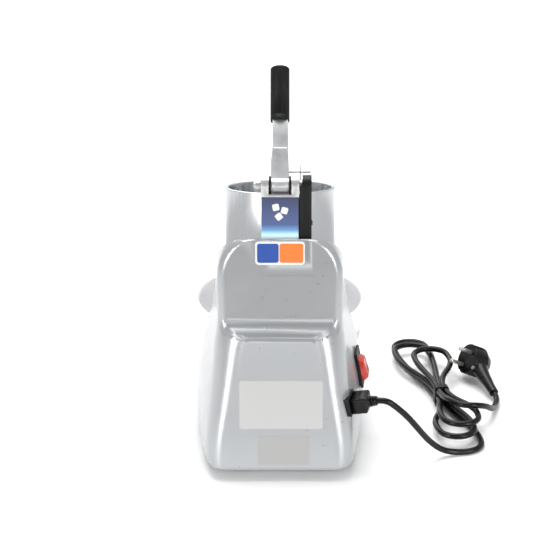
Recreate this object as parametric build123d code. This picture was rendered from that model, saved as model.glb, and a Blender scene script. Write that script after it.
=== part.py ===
from build123d import *
import math
import os

# Electric ice crusher with a hand press lever, seen on a table: painted aluminium casting,
# round hopper that leans forward, steel catch bowl, mains lead laid in a tied hank.
# Millimetres. +Z is up, the bowl is at -Y, the tall rear face is at +Y. The switch, the
# power inlet and the lead are on the -X side. The origin is under the middle, on the table.

# ---- overall, base and fasteners -----------------------------------------------------
HALF_LENGTH = 175.0          # the base reaches this far to the front, the body to the rear
FOOT_HEIGHT = 12.0
FOOT_SEAT = 5.0              # the foot screw's head sits this far up inside the foot
FOOT_RADIUS = 13.0
FOOT_X = 63.5
FOOT_Y = 137.0
BASE_THICKNESS = 4.0
BASE_INSET = 2.5             # how far the base stands inside the body's lower edge
BASE_FRONT_HALF = 88.0
BASE_FRONT_CORNER = 45.0
PLINTH_HEIGHT = 4.0          # raised stand under the bowl
PLINTH_EDGE = 2.0            # rounding of its upper edge
BASE_SCREW_Y = 60.0          # the two front base screws
BASE_SCREW_X = 48.0          # the two rear ones
POST_RADIUS = 6.0            # of the body's posts for them
FIT = 0.3                    # clearance between pieces that only sit beside each other
RUN = 0.05                   # radial clearance of a shaft in its bearing or bush
SCREW_RADIUS = 2.5           # M5 throughout
SCREW_HEAD_RADIUS = 4.3
SCREW_HEAD_HEIGHT = 3.0
SOCKET_RADIUS = 2.0          # hexagon socket in a screw's head

# ---- hopper axis and hopper ----------------------------------------------------------
LEAN = 12.7                  # the hopper leans forward by this many degrees
RIM_Y = 28.0
RIM_Z = 289.0
HOPPER_RADIUS = 61.0
HOPPER_WALL = 4.0
HOPPER_DEPTH = 94.0
RIM_ROUNDING = 1.4
FLANGE_THICKNESS = 6.0
FLANGE_RADIUS = HOPPER_RADIUS + 4.5
LUG_RADIUS = 8.0
LUG_PITCH = HOPPER_RADIUS - 13.0     # the four lugs stand this far out along both directions
LUGS = [(x, u) for x in (-LUG_PITCH, LUG_PITCH) for u in (-LUG_PITCH, LUG_PITCH)]

# ---- bowl and the hollow it stands in -----------------------------------------------------
BOWL_RADIUS = 101.0
BOWL_TOP = 122.0
BOWL_WALL = 1.2
BOWL_FOOT_RADIUS = 52.0
BOWL_LIP = 6.0               # width of the turned-out lip
NICHE_REAR = 48.0            # rear of the hollow in the front of the body
NICHE_RADIUS = BOWL_RADIUS + 5.0
NICHE_TOP = BOWL_TOP + 6.0
BOWL_Y = NICHE_REAR - NICHE_RADIUS

# ---- body shell --------------------------------------------------------------------
WALL = 3.0
WIDE_HALF = 96.5             # half width of the widest level, at the front of the side walls
NARROW_HALF = HOPPER_RADIUS + 10.0   # half width of the upper column
WIDE_LEVEL = 35.0
NARROW_LEVEL = 200.0
TUCK = 0.001                 # the sides draw in below the widest level by this times the square
FRONT_Y = 15.0               # front of the side walls
TAPER_LOW = 2.3              # side walls close towards the rear by this many degrees: at the bottom,
TAPER_MIDDLE = 0.2           # at the middle level
TAPER_HIGH = 1.2             # and on the upper column
BOW_LOW = 0.0005             # and by this times the square of the way to the rear
BOW_MIDDLE = 0.0009
BOW_HIGH = 0.00005
LEAST_BOW = 0.05             # every side wall swells by at least this at its middle
TAPER_LEVEL = 85.0           # the middle level
SHELF_LEVEL = 158.0          # top of the rear bulge
SHELF_RISE = 18.0
BULGE_LEAN = 27.0            # the bulge's rear face leans in by this over its height
COLUMN_REAR_Y = HOPPER_RADIUS + 68.0
BULGE_CORNER_LOW = 22.0      # rear corner radius at the bottom and at the top of the bulge
BULGE_CORNER_HIGH = 34.0
COLUMN_CORNER = 10.0
SHOULDER_LEVEL = 219.0
SHOULDER_TOP_HALF = 35.0
BODY_TOP = 265.0
TOP_LAND = 2.5               # flat rim at the top of the rear face
BODY_BOTTOM = FOOT_HEIGHT + BASE_THICKNESS
PLINTH_TOP = BODY_BOTTOM + PLINTH_HEIGHT
HOPPER_SKIN = -(HOPPER_DEPTH - FLANGE_THICKNESS) + 1.0 + WALL    # upper face round the hopper
BULGE_LEVELS = [BODY_BOTTOM, 48.0, 86.0, 122.0, SHELF_LEVEL]     # where sections are taken
COLUMN_LEVELS = [SHELF_LEVEL, 161.0, 164.5, 169.0, 176.0, 198.0, SHOULDER_LEVEL,
                 230.0, 240.0, 248.0, 254.5, 259.5, 263.0, BODY_TOP]

# ---- grinding head -------------------------------------------------------------------
DRUM_RADIUS = FLANGE_RADIUS
DRUM_BORE = HOPPER_RADIUS - 1.0
DRUM_DEPTH = 42.0
DRUM_FLOOR = 6.0
LUG_DEPTH = 26.0             # length of the bosses under the lugs
PAD_NEAR = 44.0              # fixing pads on the head, from here ...
PAD_FAR = 62.0               # ... to here on both sides
HEAD_SCREW_X = (PAD_NEAR + PAD_FAR) / 2
HEAD_SCREW_LEVELS = (136.0, 146.0)
OUTLET_HALF = 38.0
OUTLET_NEAR = -18.0          # outlet opening, from here ...
OUTLET_FAR = 2.0 - DRUM_BORE         # ... to here along the hopper's radial direction
CHUTE_WALL = 4.0
CHUTE_DROP = 16.0
DISC_RADIUS = HOPPER_RADIUS - HOPPER_WALL
DISC_GAP = 3.0               # under the hopper's lower edge
DISC_THICKNESS = 4.0
DISC_HUB_RADIUS = 13.0
BLADE_START = 17.0           # each blade runs outwards from here ...
BLADE_LENGTH = 34.0          # ... over this length
BLADE_HEIGHT = 2.4
BLADE_SCREWS = (24.0, 44.0)
SMALL_SCREW_RADIUS = 1.5     # M3 at the blades and the switch cover
SHAFT_RADIUS = 6.0
SHAFT_END_RADIUS = 4.0       # of the shaft's end that carries the nut
BEARING_RADIUS = 14.0
BEARING_WIDTH = 8.0
HUB_WALL = 3.5
HUB_TOP = -HOPPER_DEPTH - DISC_GAP - DISC_THICKNESS - 10.0

# ---- drive ---------------------------------------------------------------------------
PLATE_LEVEL = -239.0         # upper face of the drive bracket's plate, along the hopper axis
PLATE_THICKNESS = 4.0
PLATE_HALF = 47.0
PLATE_FRONT = -22.0
PLATE_REAR = 77.0
LEG_THICKNESS = 4.0
LEG_FOOT = 16.0              # width of the bracket's feet
MOTOR_OFFSET = 46.0
MOTOR_RADIUS = 26.5
MOTOR_LENGTH = 84.0
MOTOR_WALL = 6.0
MOTOR_SLOTS = 12
MOTOR_SHAFT_RADIUS = 4.0
MOTOR_SCREW_PLACE = 14.0     # the motor's screws stand this far off its shaft both ways
MOTOR_SCREW_RADIUS = 2.0
DISC_PULLEY_RADIUS = 25.0
MOTOR_PULLEY_RADIUS = 10.0
PULLEY_WIDTH = 12.0
PULLEY_DROP = 4.0            # between the plate and the pulleys
BELT_WIDTH = 8.0
BELT_THICKNESS = 2.0
PULLEY_FLANGE = 3.0
PULLEY_RIM = 1.5             # thickness of a pulley's flanges

# ---- hinge, lever and pusher -----------------------------------------------------------
BRACKET_HALF = 20.5
BRACKET_REAR = HOPPER_RADIUS + 21.0
BRACKET_DEPTH = 72.0         # below the rim plane
BRACKET_SCREW_LEVELS = (-28.0, -52.0)
SLOT_HALF = 12.35
SLOT_FLOOR = 1.5
EAR_RADIUS = 11.0
PIN_U = HOPPER_RADIUS + 9.0  # hinge pin: radial and axial place from the rim's centre
PIN_V = 10.0
PIN_RADIUS = 4.0
NUT_HEIGHT = 6.0
HUB_RADIUS = 8.5
LEVER_HALF = 9.8
LEVER_UPPER_HALF = 8.75
LEVER_THICKNESS = 12.0
BUSH_RADIUS = 6.0
BUSH_FLANGE_RADIUS = 10.0
BUSH_FLANGE_THICKNESS = 2.2
HANDLE_LEAN_LOW = 35.0       # lean of the handle from upright, at the hinge and at the grip
HANDLE_LEAN_HIGH = 41.0
GRIP_START = 72.0
GRIP_LENGTH = 62.0
GRIP_RADIUS = 10.4
GRIP_CORE_HALF = 6.5         # half width and half thickness of the bar inside the grip
GRIP_CORE_DEPTH = 4.0
GRIP_END = 4.0               # the grip closes over the bar with this thickness
GRIP_COLLAR = 6.0            # groove that sets the collar off, this far from the open end
LIMB_START = 42.0            # where the pusher limb leaves the handle
LIMB_HALF = 7.0
LIMB_THICKNESS = 12.0
CRANK_RADIUS = HOPPER_RADIUS + 14.0  # hinge pin to pusher pin
CRANK_ANGLE = -35.0          # of the pusher pin, from the rim plane, with the lever down
PUSHER_RADIUS = HOPPER_RADIUS - HOPPER_WALL - 11.0
PUSHER_THICKNESS = 6.0
PUSHER_POST = 42.0
PUSHER_RIBS = 6
PUSHER_EYE_RADIUS = 8.0      # of the limb's end and of the clevis round the pusher pin
CLEVIS_WALL = 4.0
PUSHER_PIN_RADIUS = 3.0
ROD_REACH = 33.0
ROD_RADIUS = 1.0
ROD_FROM_PIN = 15.0

# ---- safety switch and its cover ---------------------------------------------------------
COVER_NEAR = 21.0
COVER_FAR = 33.8
COVER_DEPTH = 68.0
COVER_WALL = 1.6
COVER_MIDDLE = HOPPER_RADIUS + 10.5
COVER_ARC = 11.5
COVER_SCREW_LEVELS = (-30.0, -56.0)
COVER_BOSS_RADIUS = 3.5
SWITCH_BODY = (6.0, 18.0, 11.0)
SWITCH_TOP = 2.0
LEAF_THICKNESS = 1.0
LEAF_BASE = -1.0
LEAF_TOP = 31.0
LEAF_EYE_RADIUS = 0.7

# ---- mains switch, inlet and connector ------------------------------------------------------
ROCKER_Y = 66.0
ROCKER_Z = 86.5
ROCKER_BEZEL = (30.0, 42.0, 3.0)
ROCKER_CUTOUT = (25.6, 37.6)
ROCKER_HALF = 9.6
ROCKER_PIVOT = -2.5
ROCKER_AXLE_RADIUS = 1.5
INLET_Y = 141.0
INLET_Z = 78.0
INLET_FLANGE = (29.0, 20.4, 1.6)
INLET_CUTOUT = (28.6, 20.6)
INLET_BLADES = [(0.0, -3.6), (-7.0, 2.4), (7.0, 2.4)]
CONNECTOR_SIZE = (27.0, 17.5, 24.0)
RELIEF_LENGTH = 9.5

# ---- lead, hank, tie and plug -----------------------------------------------------------------
CORD_RADIUS = 3.5
CORD_STEP = 7.6              # strands lie this far apart side by side at the waist
CORD_LAYER = 7.8             # and this far apart on top of each other
TIE_THICKNESS = 1.0
TIE_WIDTH = 8.0
WAIST_X = -190.0
WAIST_Y = -12.0
HANK_TURN = 9.3              # the hank's far end points this many degrees off -Y
# far loop: right side, reach, left side; near loop: left side, reach, right side
HANK_LOOPS = [(19.0, 153.0, -23.0, -24.0, 86.0, 18.0),
              (13.0, 124.0, -29.0, -16.0, 72.0, 26.0),
              (30.0, 92.0, -12.0, 0.0, 0.0, 0.0)]
LEAD_ROUTE = [(-128.1, 147.0, 75.2), (-140.6, 144.0, 61.9), (-152.0, 138.0, 45.3),
              (-165.5, 128.0, 24.3), (-181.0, 119.5, 8.5)]
TAIL_ROUTE = [(-191.5, 20.0, 25.0), (-196.5, 35.0, 29.0), (-208.0, 48.0, 29.3), (-224.0, 49.0, 29.3),
              (-238.0, 38.0, 23.0), (-247.0, 20.0, 10.0), (-252.5, 2.0, 5.0)]
PLUG_RADIUS = 18.5
PLUG_DEPTH = 18.0
PLUG_PIN_RADIUS = 2.4
PLUG_PIN_LENGTH = 19.0
PLUG_PIN_ROUND = 1.2
PLUG_ROOT_RADIUS = 1.8       # of the pins inside the plug
PLUG_ROOT_LENGTH = 9.0
PLUG_PIN_PITCH = 19.0
PLUG_FACE = (-226.0, -82.0, 27.5)
PLUG_P = (0.81, 0.355, 0.463)     # the pins point this way
PLUG_S = (-0.51, 0.04, 0.856)     # from one pin to the other
PLUG_W = (0.285, -0.93, 0.213)    # across both; the lead leaves the other way
NECK_LENGTH = 64.0
NECK_DEPTH = 12.0            # the neck's middle lies this far behind the face

AXIS = (0.0, -math.sin(math.radians(LEAN)), math.cos(math.radians(LEAN)))
HOPPER = Plane(origin=(0, RIM_Y, RIM_Z), x_dir=(1, 0, 0), z_dir=AXIS)
HANK_FAR = Vector(math.sin(math.radians(HANK_TURN)), -math.cos(math.radians(HANK_TURN)), 0)
HANK_SIDE = Vector(-math.cos(math.radians(HANK_TURN)), -math.sin(math.radians(HANK_TURN)), 0)
PARTS = {}


def keep(name, shape):
    """Store a finished piece under the name of its file."""
    PARTS[name] = shape


def world(u, v, x=0.0):
    """Place of a point given along the hopper's radial and axial directions."""
    return HOPPER.from_local_coords(Vector(x, u, v))


def rod(radius, low, high, u=0.0, x=0.0):
    """Cylinder along the hopper axis from one level to another."""
    return HOPPER * Pos(x, u, (low + high) / 2) * Cylinder(radius, high - low)


def block(x0, x1, y0, y1, z0, z1):
    """Box between two corners."""
    return Pos((x0 + x1) / 2, (y0 + y1) / 2, (z0 + z1) / 2) * Box(x1 - x0, y1 - y0, z1 - z0)


def centred_block(width, height, z0, z1):
    """Box round the Z axis from one level to another."""
    return block(-width / 2, width / 2, -height / 2, height / 2, z0, z1)


def local_block(x0, x1, u0, u1, v0, v1):
    """Box between two corners in the hopper's directions."""
    return HOPPER * block(x0, x1, u0, u1, v0, v1)


def side_profile(points, half):
    """Outline in the Y-Z plane, extruded to both sides of the middle."""
    outline = make_face(Polyline([(0, y, z) for y, z in points], close=True))
    return extrude(outline, half, dir=(1, 0, 0), both=True)


def screw(radius, length, head_radius, head_height, socket=0.0):
    """Screw along +Z with its head on top of the plane z = 0 and an optional hexagon socket."""
    body = Pos(0, 0, -length / 2) * Cylinder(radius, length)
    head = Pos(0, 0, head_height / 2) * Cylinder(head_radius, head_height)
    head = fillet(head.edges().group_by(Axis.Z)[-1], head_height * 0.3)
    piece = body + head
    if socket:
        key = extrude(RegularPolygon(socket, 6), head_height * 0.6)
        piece -= Pos(0, 0, head_height * 0.4) * key
    return piece


# ---- body outline: one set of formulas gives the shell, its cavity and the base -------------
def blend(low, high, share):
    """Straight change from low to high, held at both ends."""
    return low + (high - low) * min(1.0, max(0.0, share))


def front_half_width(z):
    """Half width of the body at the front of its side walls."""
    if z <= WIDE_LEVEL:
        return WIDE_HALF - TUCK * (WIDE_LEVEL - z) ** 2
    share = min(1.0, (z - WIDE_LEVEL) / (NARROW_LEVEL - WIDE_LEVEL))
    return NARROW_HALF + (WIDE_HALF - NARROW_HALF) * 0.5 * (1 + math.cos(math.pi * share))


def by_level(z, low, middle, high):
    """Value that changes from the bottom over the middle level to the upper column."""
    if z <= TAPER_LEVEL:
        return blend(low, middle, (z - BODY_BOTTOM) / (TAPER_LEVEL - BODY_BOTTOM))
    return blend(middle, high, (z - TAPER_LEVEL) / (NARROW_LEVEL - TAPER_LEVEL))


def side_draw(y, z):
    """How much the half width shrinks from the front of the side walls to a place further back."""
    way = y - FRONT_Y
    taper = math.tan(math.radians(by_level(z, TAPER_LOW, TAPER_MIDDLE, TAPER_HIGH)))
    return taper * way + by_level(z, BOW_LOW, BOW_MIDDLE, BOW_HIGH) * way ** 2


def half_width(y, z):
    """Half width of the body at a place, with the rounded shoulder at the top."""
    width = front_half_width(z) - side_draw(y, z)
    if z > SHOULDER_LEVEL:
        share = min(1.0, (z - SHOULDER_LEVEL) / (BODY_TOP - SHOULDER_LEVEL))
        rounding = math.sqrt(max(0.0, 1 - share ** 2))
        width = SHOULDER_TOP_HALF + (width - SHOULDER_TOP_HALF) * rounding
    return width


def rear_face(z):
    """Y of the rear face: leaning bulge, rounded shelf, upright column."""
    if z <= SHELF_LEVEL:
        return HALF_LENGTH - BULGE_LEAN * (z - BODY_BOTTOM) / (SHELF_LEVEL - BODY_BOTTOM)
    share = min(1.0, (z - SHELF_LEVEL) / SHELF_RISE)
    shelf = HALF_LENGTH - BULGE_LEAN - COLUMN_REAR_Y
    return COLUMN_REAR_Y + shelf * (1 - share) ** 3


def rear_corner(z):
    """Radius of the body's rear corners."""
    if z <= SHELF_LEVEL:
        share = (z - BODY_BOTTOM) / (SHELF_LEVEL - BODY_BOTTOM)
        return blend(BULGE_CORNER_LOW, BULGE_CORNER_HIGH, share)
    share = min(1.0, (z - SHELF_LEVEL) / SHELF_RISE)
    return COLUMN_CORNER + (BULGE_CORNER_HIGH - COLUMN_CORNER) * (1 - share) ** 3


def body_section(z, inset=0.0, level=None):
    """Level section of the body, drawn in by an inset, with rounded rear corners."""
    at = z if level is None else level
    front = FRONT_Y + inset
    rear = rear_face(at) - inset
    front_half = half_width(front, at) - inset
    rear_half = half_width(rear, at) - inset
    middle = (front + rear) / 2
    middle_half = max(half_width(middle, at) - inset, (front_half + rear_half) / 2 + LEAST_BOW)
    radius = min(max(rear_corner(at) - inset, 2.0), rear_half * 0.9)
    left = ThreePointArc((-rear_half, rear), (-middle_half, middle), (-front_half, front))
    right = ThreePointArc((front_half, front), (middle_half, middle), (rear_half, rear))
    section = make_face([Line((-front_half, front), (front_half, front)), right,
                         Line((rear_half, rear), (-rear_half, rear)), left])
    section = fillet(section.vertices().group_by(Axis.Y)[-1], radius)
    return Pos(0, 0, z) * section


def body_solid(bottom, inset=0.0):
    """The body as a solid: bulge, shelf, column and shoulder, drawn in by an inset."""
    bulge = [body_section(z - inset, inset, z) for z in BULGE_LEVELS]
    bulge[0] = body_section(bottom, inset, BODY_BOTTOM)
    column = [body_section(z - inset, inset, z) for z in COLUMN_LEVELS]
    solid = loft(bulge) + loft(column, ruled=True)
    # cut along the hopper's skin at the front and up to the flat rim at the rear
    knee = world(0, HOPPER_SKIN)
    knee_z = knee.Z - inset * 1.25
    before, above = -60.0, BODY_TOP + 40
    front_z = knee_z - (knee.Y - before) * math.tan(math.radians(LEAN))
    rear = COLUMN_REAR_Y - TOP_LAND - inset
    sky = [(rear, BODY_TOP + 1 - inset), (knee.Y, knee_z), (before, front_z), (before, above), (rear, above)]
    return solid - side_profile(sky, WIDE_HALF + 25)


def outward(y, z):
    """Plane on the body's -X wall: origin on the skin, z_dir out of the wall, x_dir to the rear."""
    here = Vector(-half_width(y, z), y, z)
    back = Vector(-half_width(y + 1, z), y + 1, z) - here
    up = Vector(-half_width(y, z + 1), y, z + 1) - here
    normal = up.cross(back) * -1
    if normal.X > 0:
        normal = normal * -1
    return Plane(origin=here, x_dir=back, z_dir=normal)


ROCKER_PLANE = outward(ROCKER_Y, ROCKER_Z)
INLET_PLANE = outward(INLET_Y, INLET_Z)


# ---- base, feet and their screws --------------------------------------------------------------
def base_outline(inset):
    """Plan of the base: the body's lower section run on to a rounded front."""
    rear = Pos(0, 0, -BODY_BOTTOM) * body_section(BODY_BOTTOM, inset)
    front_length = HALF_LENGTH + FRONT_Y + inset + 10
    front = Pos(0, -HALF_LENGTH + front_length / 2) * Rectangle(2 * BASE_FRONT_HALF, front_length)
    front = fillet(front.vertices().group_by(Axis.Y)[0], BASE_FRONT_CORNER)
    return rear + front


def base_screw_places():
    """Plan of the four screws that hold the body down on the base."""
    side = half_width(BASE_SCREW_Y, BODY_BOTTOM) - WALL - 4.0
    back = HALF_LENGTH - WALL - 8.0
    return [(side, BASE_SCREW_Y), (-side, BASE_SCREW_Y), (BASE_SCREW_X, back), (-BASE_SCREW_X, back)]


def make_base():
    """Cast base with the bowl's stand, and the screws that hold the body on it."""
    slab = Pos(0, 0, FOOT_HEIGHT) * extrude(base_outline(BASE_INSET), BASE_THICKNESS)
    length = HALF_LENGTH + FRONT_Y
    stand_plan = Pos(0, -HALF_LENGTH + length / 2) * Rectangle(2 * BASE_FRONT_HALF, length)
    stand_plan = fillet(stand_plan.vertices().group_by(Axis.Y)[0], BASE_FRONT_CORNER)
    before_body = Pos(0, FRONT_Y - FIT - HALF_LENGTH) * Rectangle(2 * HALF_LENGTH, 2 * HALF_LENGTH)
    niche = Pos(0, BOWL_Y) * Circle(NICHE_RADIUS - FIT)
    rear_half = Pos(0, BOWL_Y + NICHE_RADIUS) * Rectangle(2 * BASE_FRONT_HALF, 2 * NICHE_RADIUS)
    stand = (stand_plan & before_body) + (niche & rear_half)
    plinth = Pos(0, 0, BODY_BOTTOM) * extrude(stand, PLINTH_HEIGHT)
    base = slab + plinth
    top_edge = base.edges().filter_by(Plane.XY).group_by(Axis.Z)[-1]
    base = fillet(top_edge, PLINTH_EDGE)
    for x, y in base_screw_places():
        base -= Pos(x, y, FOOT_HEIGHT) * Cylinder(SCREW_RADIUS + FIT, 2 * (PLINTH_TOP - FOOT_HEIGHT) + 4)
    for x, y in foot_places():
        base -= Pos(x, y, FOOT_HEIGHT) * Cylinder(SCREW_RADIUS + RUN, 2 * BASE_THICKNESS + 2)
    keep("base_casting", base)
    fixing = Rot(180, 0, 0) * screw(SCREW_RADIUS, 16, SCREW_HEAD_RADIUS, SCREW_HEAD_HEIGHT, SOCKET_RADIUS)
    keep("base_screws", Compound(children=[Pos(x, y, FOOT_HEIGHT) * fixing for x, y in base_screw_places()]))


def foot_places():
    """Plan of the four feet."""
    return [(x, y) for x in (-FOOT_X, FOOT_X) for y in (-FOOT_Y, FOOT_Y)]


def make_feet():
    """Rubber feet with a countersunk bore, and the screws through them."""
    bore = SCREW_RADIUS + FIT
    seat = SCREW_HEAD_RADIUS + 0.7
    section = make_face(Polyline((bore, FOOT_HEIGHT), (bore, FOOT_SEAT), (seat, FOOT_SEAT), (seat, 0.0),
                                 (FOOT_RADIUS - 2.0, 0.0), (FOOT_RADIUS, 2.0),
                                 (FOOT_RADIUS - 1.0, FOOT_HEIGHT), close=True))
    foot = revolve(Plane.XZ * section, Axis.Z)
    fixing = Pos(0, 0, FOOT_SEAT) * Rot(180, 0, 0) * screw(
        SCREW_RADIUS, BODY_BOTTOM - FOOT_SEAT + 0.5, SCREW_HEAD_RADIUS, SCREW_HEAD_HEIGHT, SOCKET_RADIUS)
    keep("rubber_feet", Compound(children=[Pos(x, y) * foot for x, y in foot_places()]))
    keep("foot_screws", Compound(children=[Pos(x, y) * fixing for x, y in foot_places()]))


# ---- body shell ----------------------------------------------------------------------------------
def make_housing():
    """Hollow body with its niche, openings, screw posts and wall cut-outs."""
    shell = body_solid(BODY_BOTTOM)
    shell -= Pos(0, BOWL_Y, 0) * Cylinder(
        NICHE_RADIUS, NICHE_TOP, align=(Align.CENTER, Align.CENTER, Align.MIN))
    cavity = body_solid(BODY_BOTTOM - 1, WALL)
    cavity -= Pos(0, BOWL_Y, 0) * Cylinder(
        NICHE_RADIUS + WALL, NICHE_TOP + WALL, align=(Align.CENTER, Align.CENTER, Align.MIN))
    shell -= cavity
    for index, (x, y) in enumerate(base_screw_places()):
        height = 24.0 if index < 2 else 14.0
        post = Pos(x, y, BODY_BOTTOM + height / 2) * Cylinder(POST_RADIUS, height)
        shell += post & body_solid(BODY_BOTTOM)
    for x, y in base_screw_places():
        shell -= Pos(x, y, BODY_BOTTOM) * Cylinder(SCREW_RADIUS + RUN, 26)
    # room for the head, the hopper with its hinge bracket, and the outlet chute
    shell -= rod(DRUM_RADIUS + 0.8, -HOPPER_DEPTH - DRUM_DEPTH - 1, HOPPER_SKIN - WALL - 0.2)
    shell -= rod(HOPPER_RADIUS + 1.0, -HOPPER_DEPTH, 0)
    for x, u in LUGS:
        shell -= rod(LUG_RADIUS + 1.0, -HOPPER_DEPTH - 30, HOPPER_SKIN - WALL - 0.2, u, x)
    shell -= local_block(-COVER_FAR - 3, BRACKET_HALF + 1, HOPPER_RADIUS - 21, BRACKET_REAR + 2.2,
                         -COVER_DEPTH - 18, 40)
    chute_rear = world(OUTLET_NEAR + CHUTE_WALL, -HOPPER_DEPTH - DRUM_DEPTH - CHUTE_DROP).Y
    shell -= block(-OUTLET_HALF - CHUTE_WALL - 1, OUTLET_HALF + CHUTE_WALL + 1,
                   0, chute_rear + 1.5, 110, 158)
    for x, z in head_screw_places():
        shell -= Pos(x, FRONT_Y, z) * Rot(90, 0, 0) * Cylinder(SCREW_RADIUS + FIT, 20)
    for plane, cutout, flange in ((ROCKER_PLANE, ROCKER_CUTOUT, ROCKER_BEZEL),
                                  (INLET_PLANE, INLET_CUTOUT, INLET_FLANGE)):
        shell -= plane * centred_block(cutout[0], cutout[1], -20, 5)
        shell -= plane * centred_block(flange[0] + 2 * FIT, flange[1] + 2 * FIT, 0.1, 8)
    keep("housing", shell)


def head_screw_places():
    """Screws through the body's front wall into the head's pads."""
    return [(x, z) for x in (-HEAD_SCREW_X, HEAD_SCREW_X) for z in HEAD_SCREW_LEVELS]


# ---- grinding head and hopper -------------------------------------------------------------------------
def make_head():
    """Drum with its bearing hub, floor outlet, chute, lug bosses and fixing pads."""
    top = -HOPPER_DEPTH
    bottom = top - DRUM_DEPTH
    floor = bottom + DRUM_FLOOR
    head = rod(DRUM_RADIUS, bottom, top)
    for x, u in LUGS:
        head += rod(LUG_RADIUS, top - LUG_DEPTH, top, u, x)
    pads = block(PAD_NEAR, PAD_FAR, FRONT_Y + WALL, FRONT_Y + WALL + 5, 131.0, 160.0)
    pads += mirror(pads, Plane.YZ)
    head += pads - rod(DRUM_RADIUS - 1, bottom, top)
    head += local_block(-OUTLET_HALF - CHUTE_WALL, OUTLET_HALF + CHUTE_WALL,
                        OUTLET_FAR - CHUTE_WALL, OUTLET_NEAR + CHUTE_WALL,
                        bottom - CHUTE_DROP, bottom + 1)
    head -= rod(DRUM_BORE, floor, top + 1)
    head -= local_block(-OUTLET_HALF, OUTLET_HALF, OUTLET_FAR, OUTLET_NEAR,
                        bottom - CHUTE_DROP - 1, bottom)
    mouth = local_block(-OUTLET_HALF, OUTLET_HALF, OUTLET_FAR, OUTLET_NEAR, bottom - 1, floor + 1)
    head -= mouth & rod(DRUM_BORE, bottom - 1, floor + 1)
    head += rod(BEARING_RADIUS + HUB_WALL, bottom - 2, HUB_TOP)
    head -= rod(BEARING_RADIUS, HUB_TOP - BEARING_WIDTH, HUB_TOP + 1)
    head -= rod(SHAFT_RADIUS + 2.0, bottom - 3, HUB_TOP)
    for x, u in LUGS:
        head -= rod(SCREW_RADIUS + RUN, top - 20, top + 1, u, x)
    for x, z in head_screw_places():
        head -= Pos(x, FRONT_Y + WALL, z) * Rot(90, 0, 0) * Cylinder(SCREW_RADIUS + RUN, 30)
    keep("head_casting", head)
    fixing = Rot(90, 0, 0) * screw(SCREW_RADIUS, 7.5, SCREW_HEAD_RADIUS, SCREW_HEAD_HEIGHT, SOCKET_RADIUS)
    keep("head_screws", Compound(children=[Pos(x, FRONT_Y, z) * fixing for x, z in head_screw_places()]))


def make_hopper():
    """Cast tube with a lugged flange at its foot and a rounded rim."""
    tube = rod(HOPPER_RADIUS, -HOPPER_DEPTH, 0)
    flange = rod(FLANGE_RADIUS, -HOPPER_DEPTH, -HOPPER_DEPTH + FLANGE_THICKNESS)
    for x, u in LUGS:
        flange += rod(LUG_RADIUS, -HOPPER_DEPTH, -HOPPER_DEPTH + FLANGE_THICKNESS, u, x)
    hopper = tube + flange
    hopper -= rod(HOPPER_RADIUS - HOPPER_WALL, -HOPPER_DEPTH - 1, 1)
    rim = [edge for edge in hopper.edges().filter_by(GeomType.CIRCLE)
           if abs(HOPPER.to_local_coords(edge.center()).Z) < 0.01]
    hopper = fillet(rim, RIM_ROUNDING)
    for x, u in LUGS:
        hopper -= rod(SCREW_RADIUS + FIT, -HOPPER_DEPTH - 1, 0, u, x) & rod(
            SCREW_RADIUS + 1, -HOPPER_DEPTH - 1, -HOPPER_DEPTH + FLANGE_THICKNESS + 1, u, x)
    for v in BRACKET_SCREW_LEVELS:
        hopper -= HOPPER * Pos(0, HOPPER_RADIUS, v) * Rot(90, 0, 0) * Cylinder(SCREW_RADIUS + FIT, 30)
        hopper -= HOPPER * Pos(0, HOPPER_RADIUS - HOPPER_WALL - 2, v) * Rot(90, 0, 0) * Cylinder(
            SCREW_HEAD_RADIUS + 0.4, 4.1)
    keep("hopper", hopper)
    level = -HOPPER_DEPTH + FLANGE_THICKNESS
    fixing = screw(SCREW_RADIUS, 22, SCREW_HEAD_RADIUS, 3.4, SOCKET_RADIUS)
    keep("hopper_screws", Compound(children=[HOPPER * Pos(x, u, level) * fixing for x, u in LUGS]))


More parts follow.
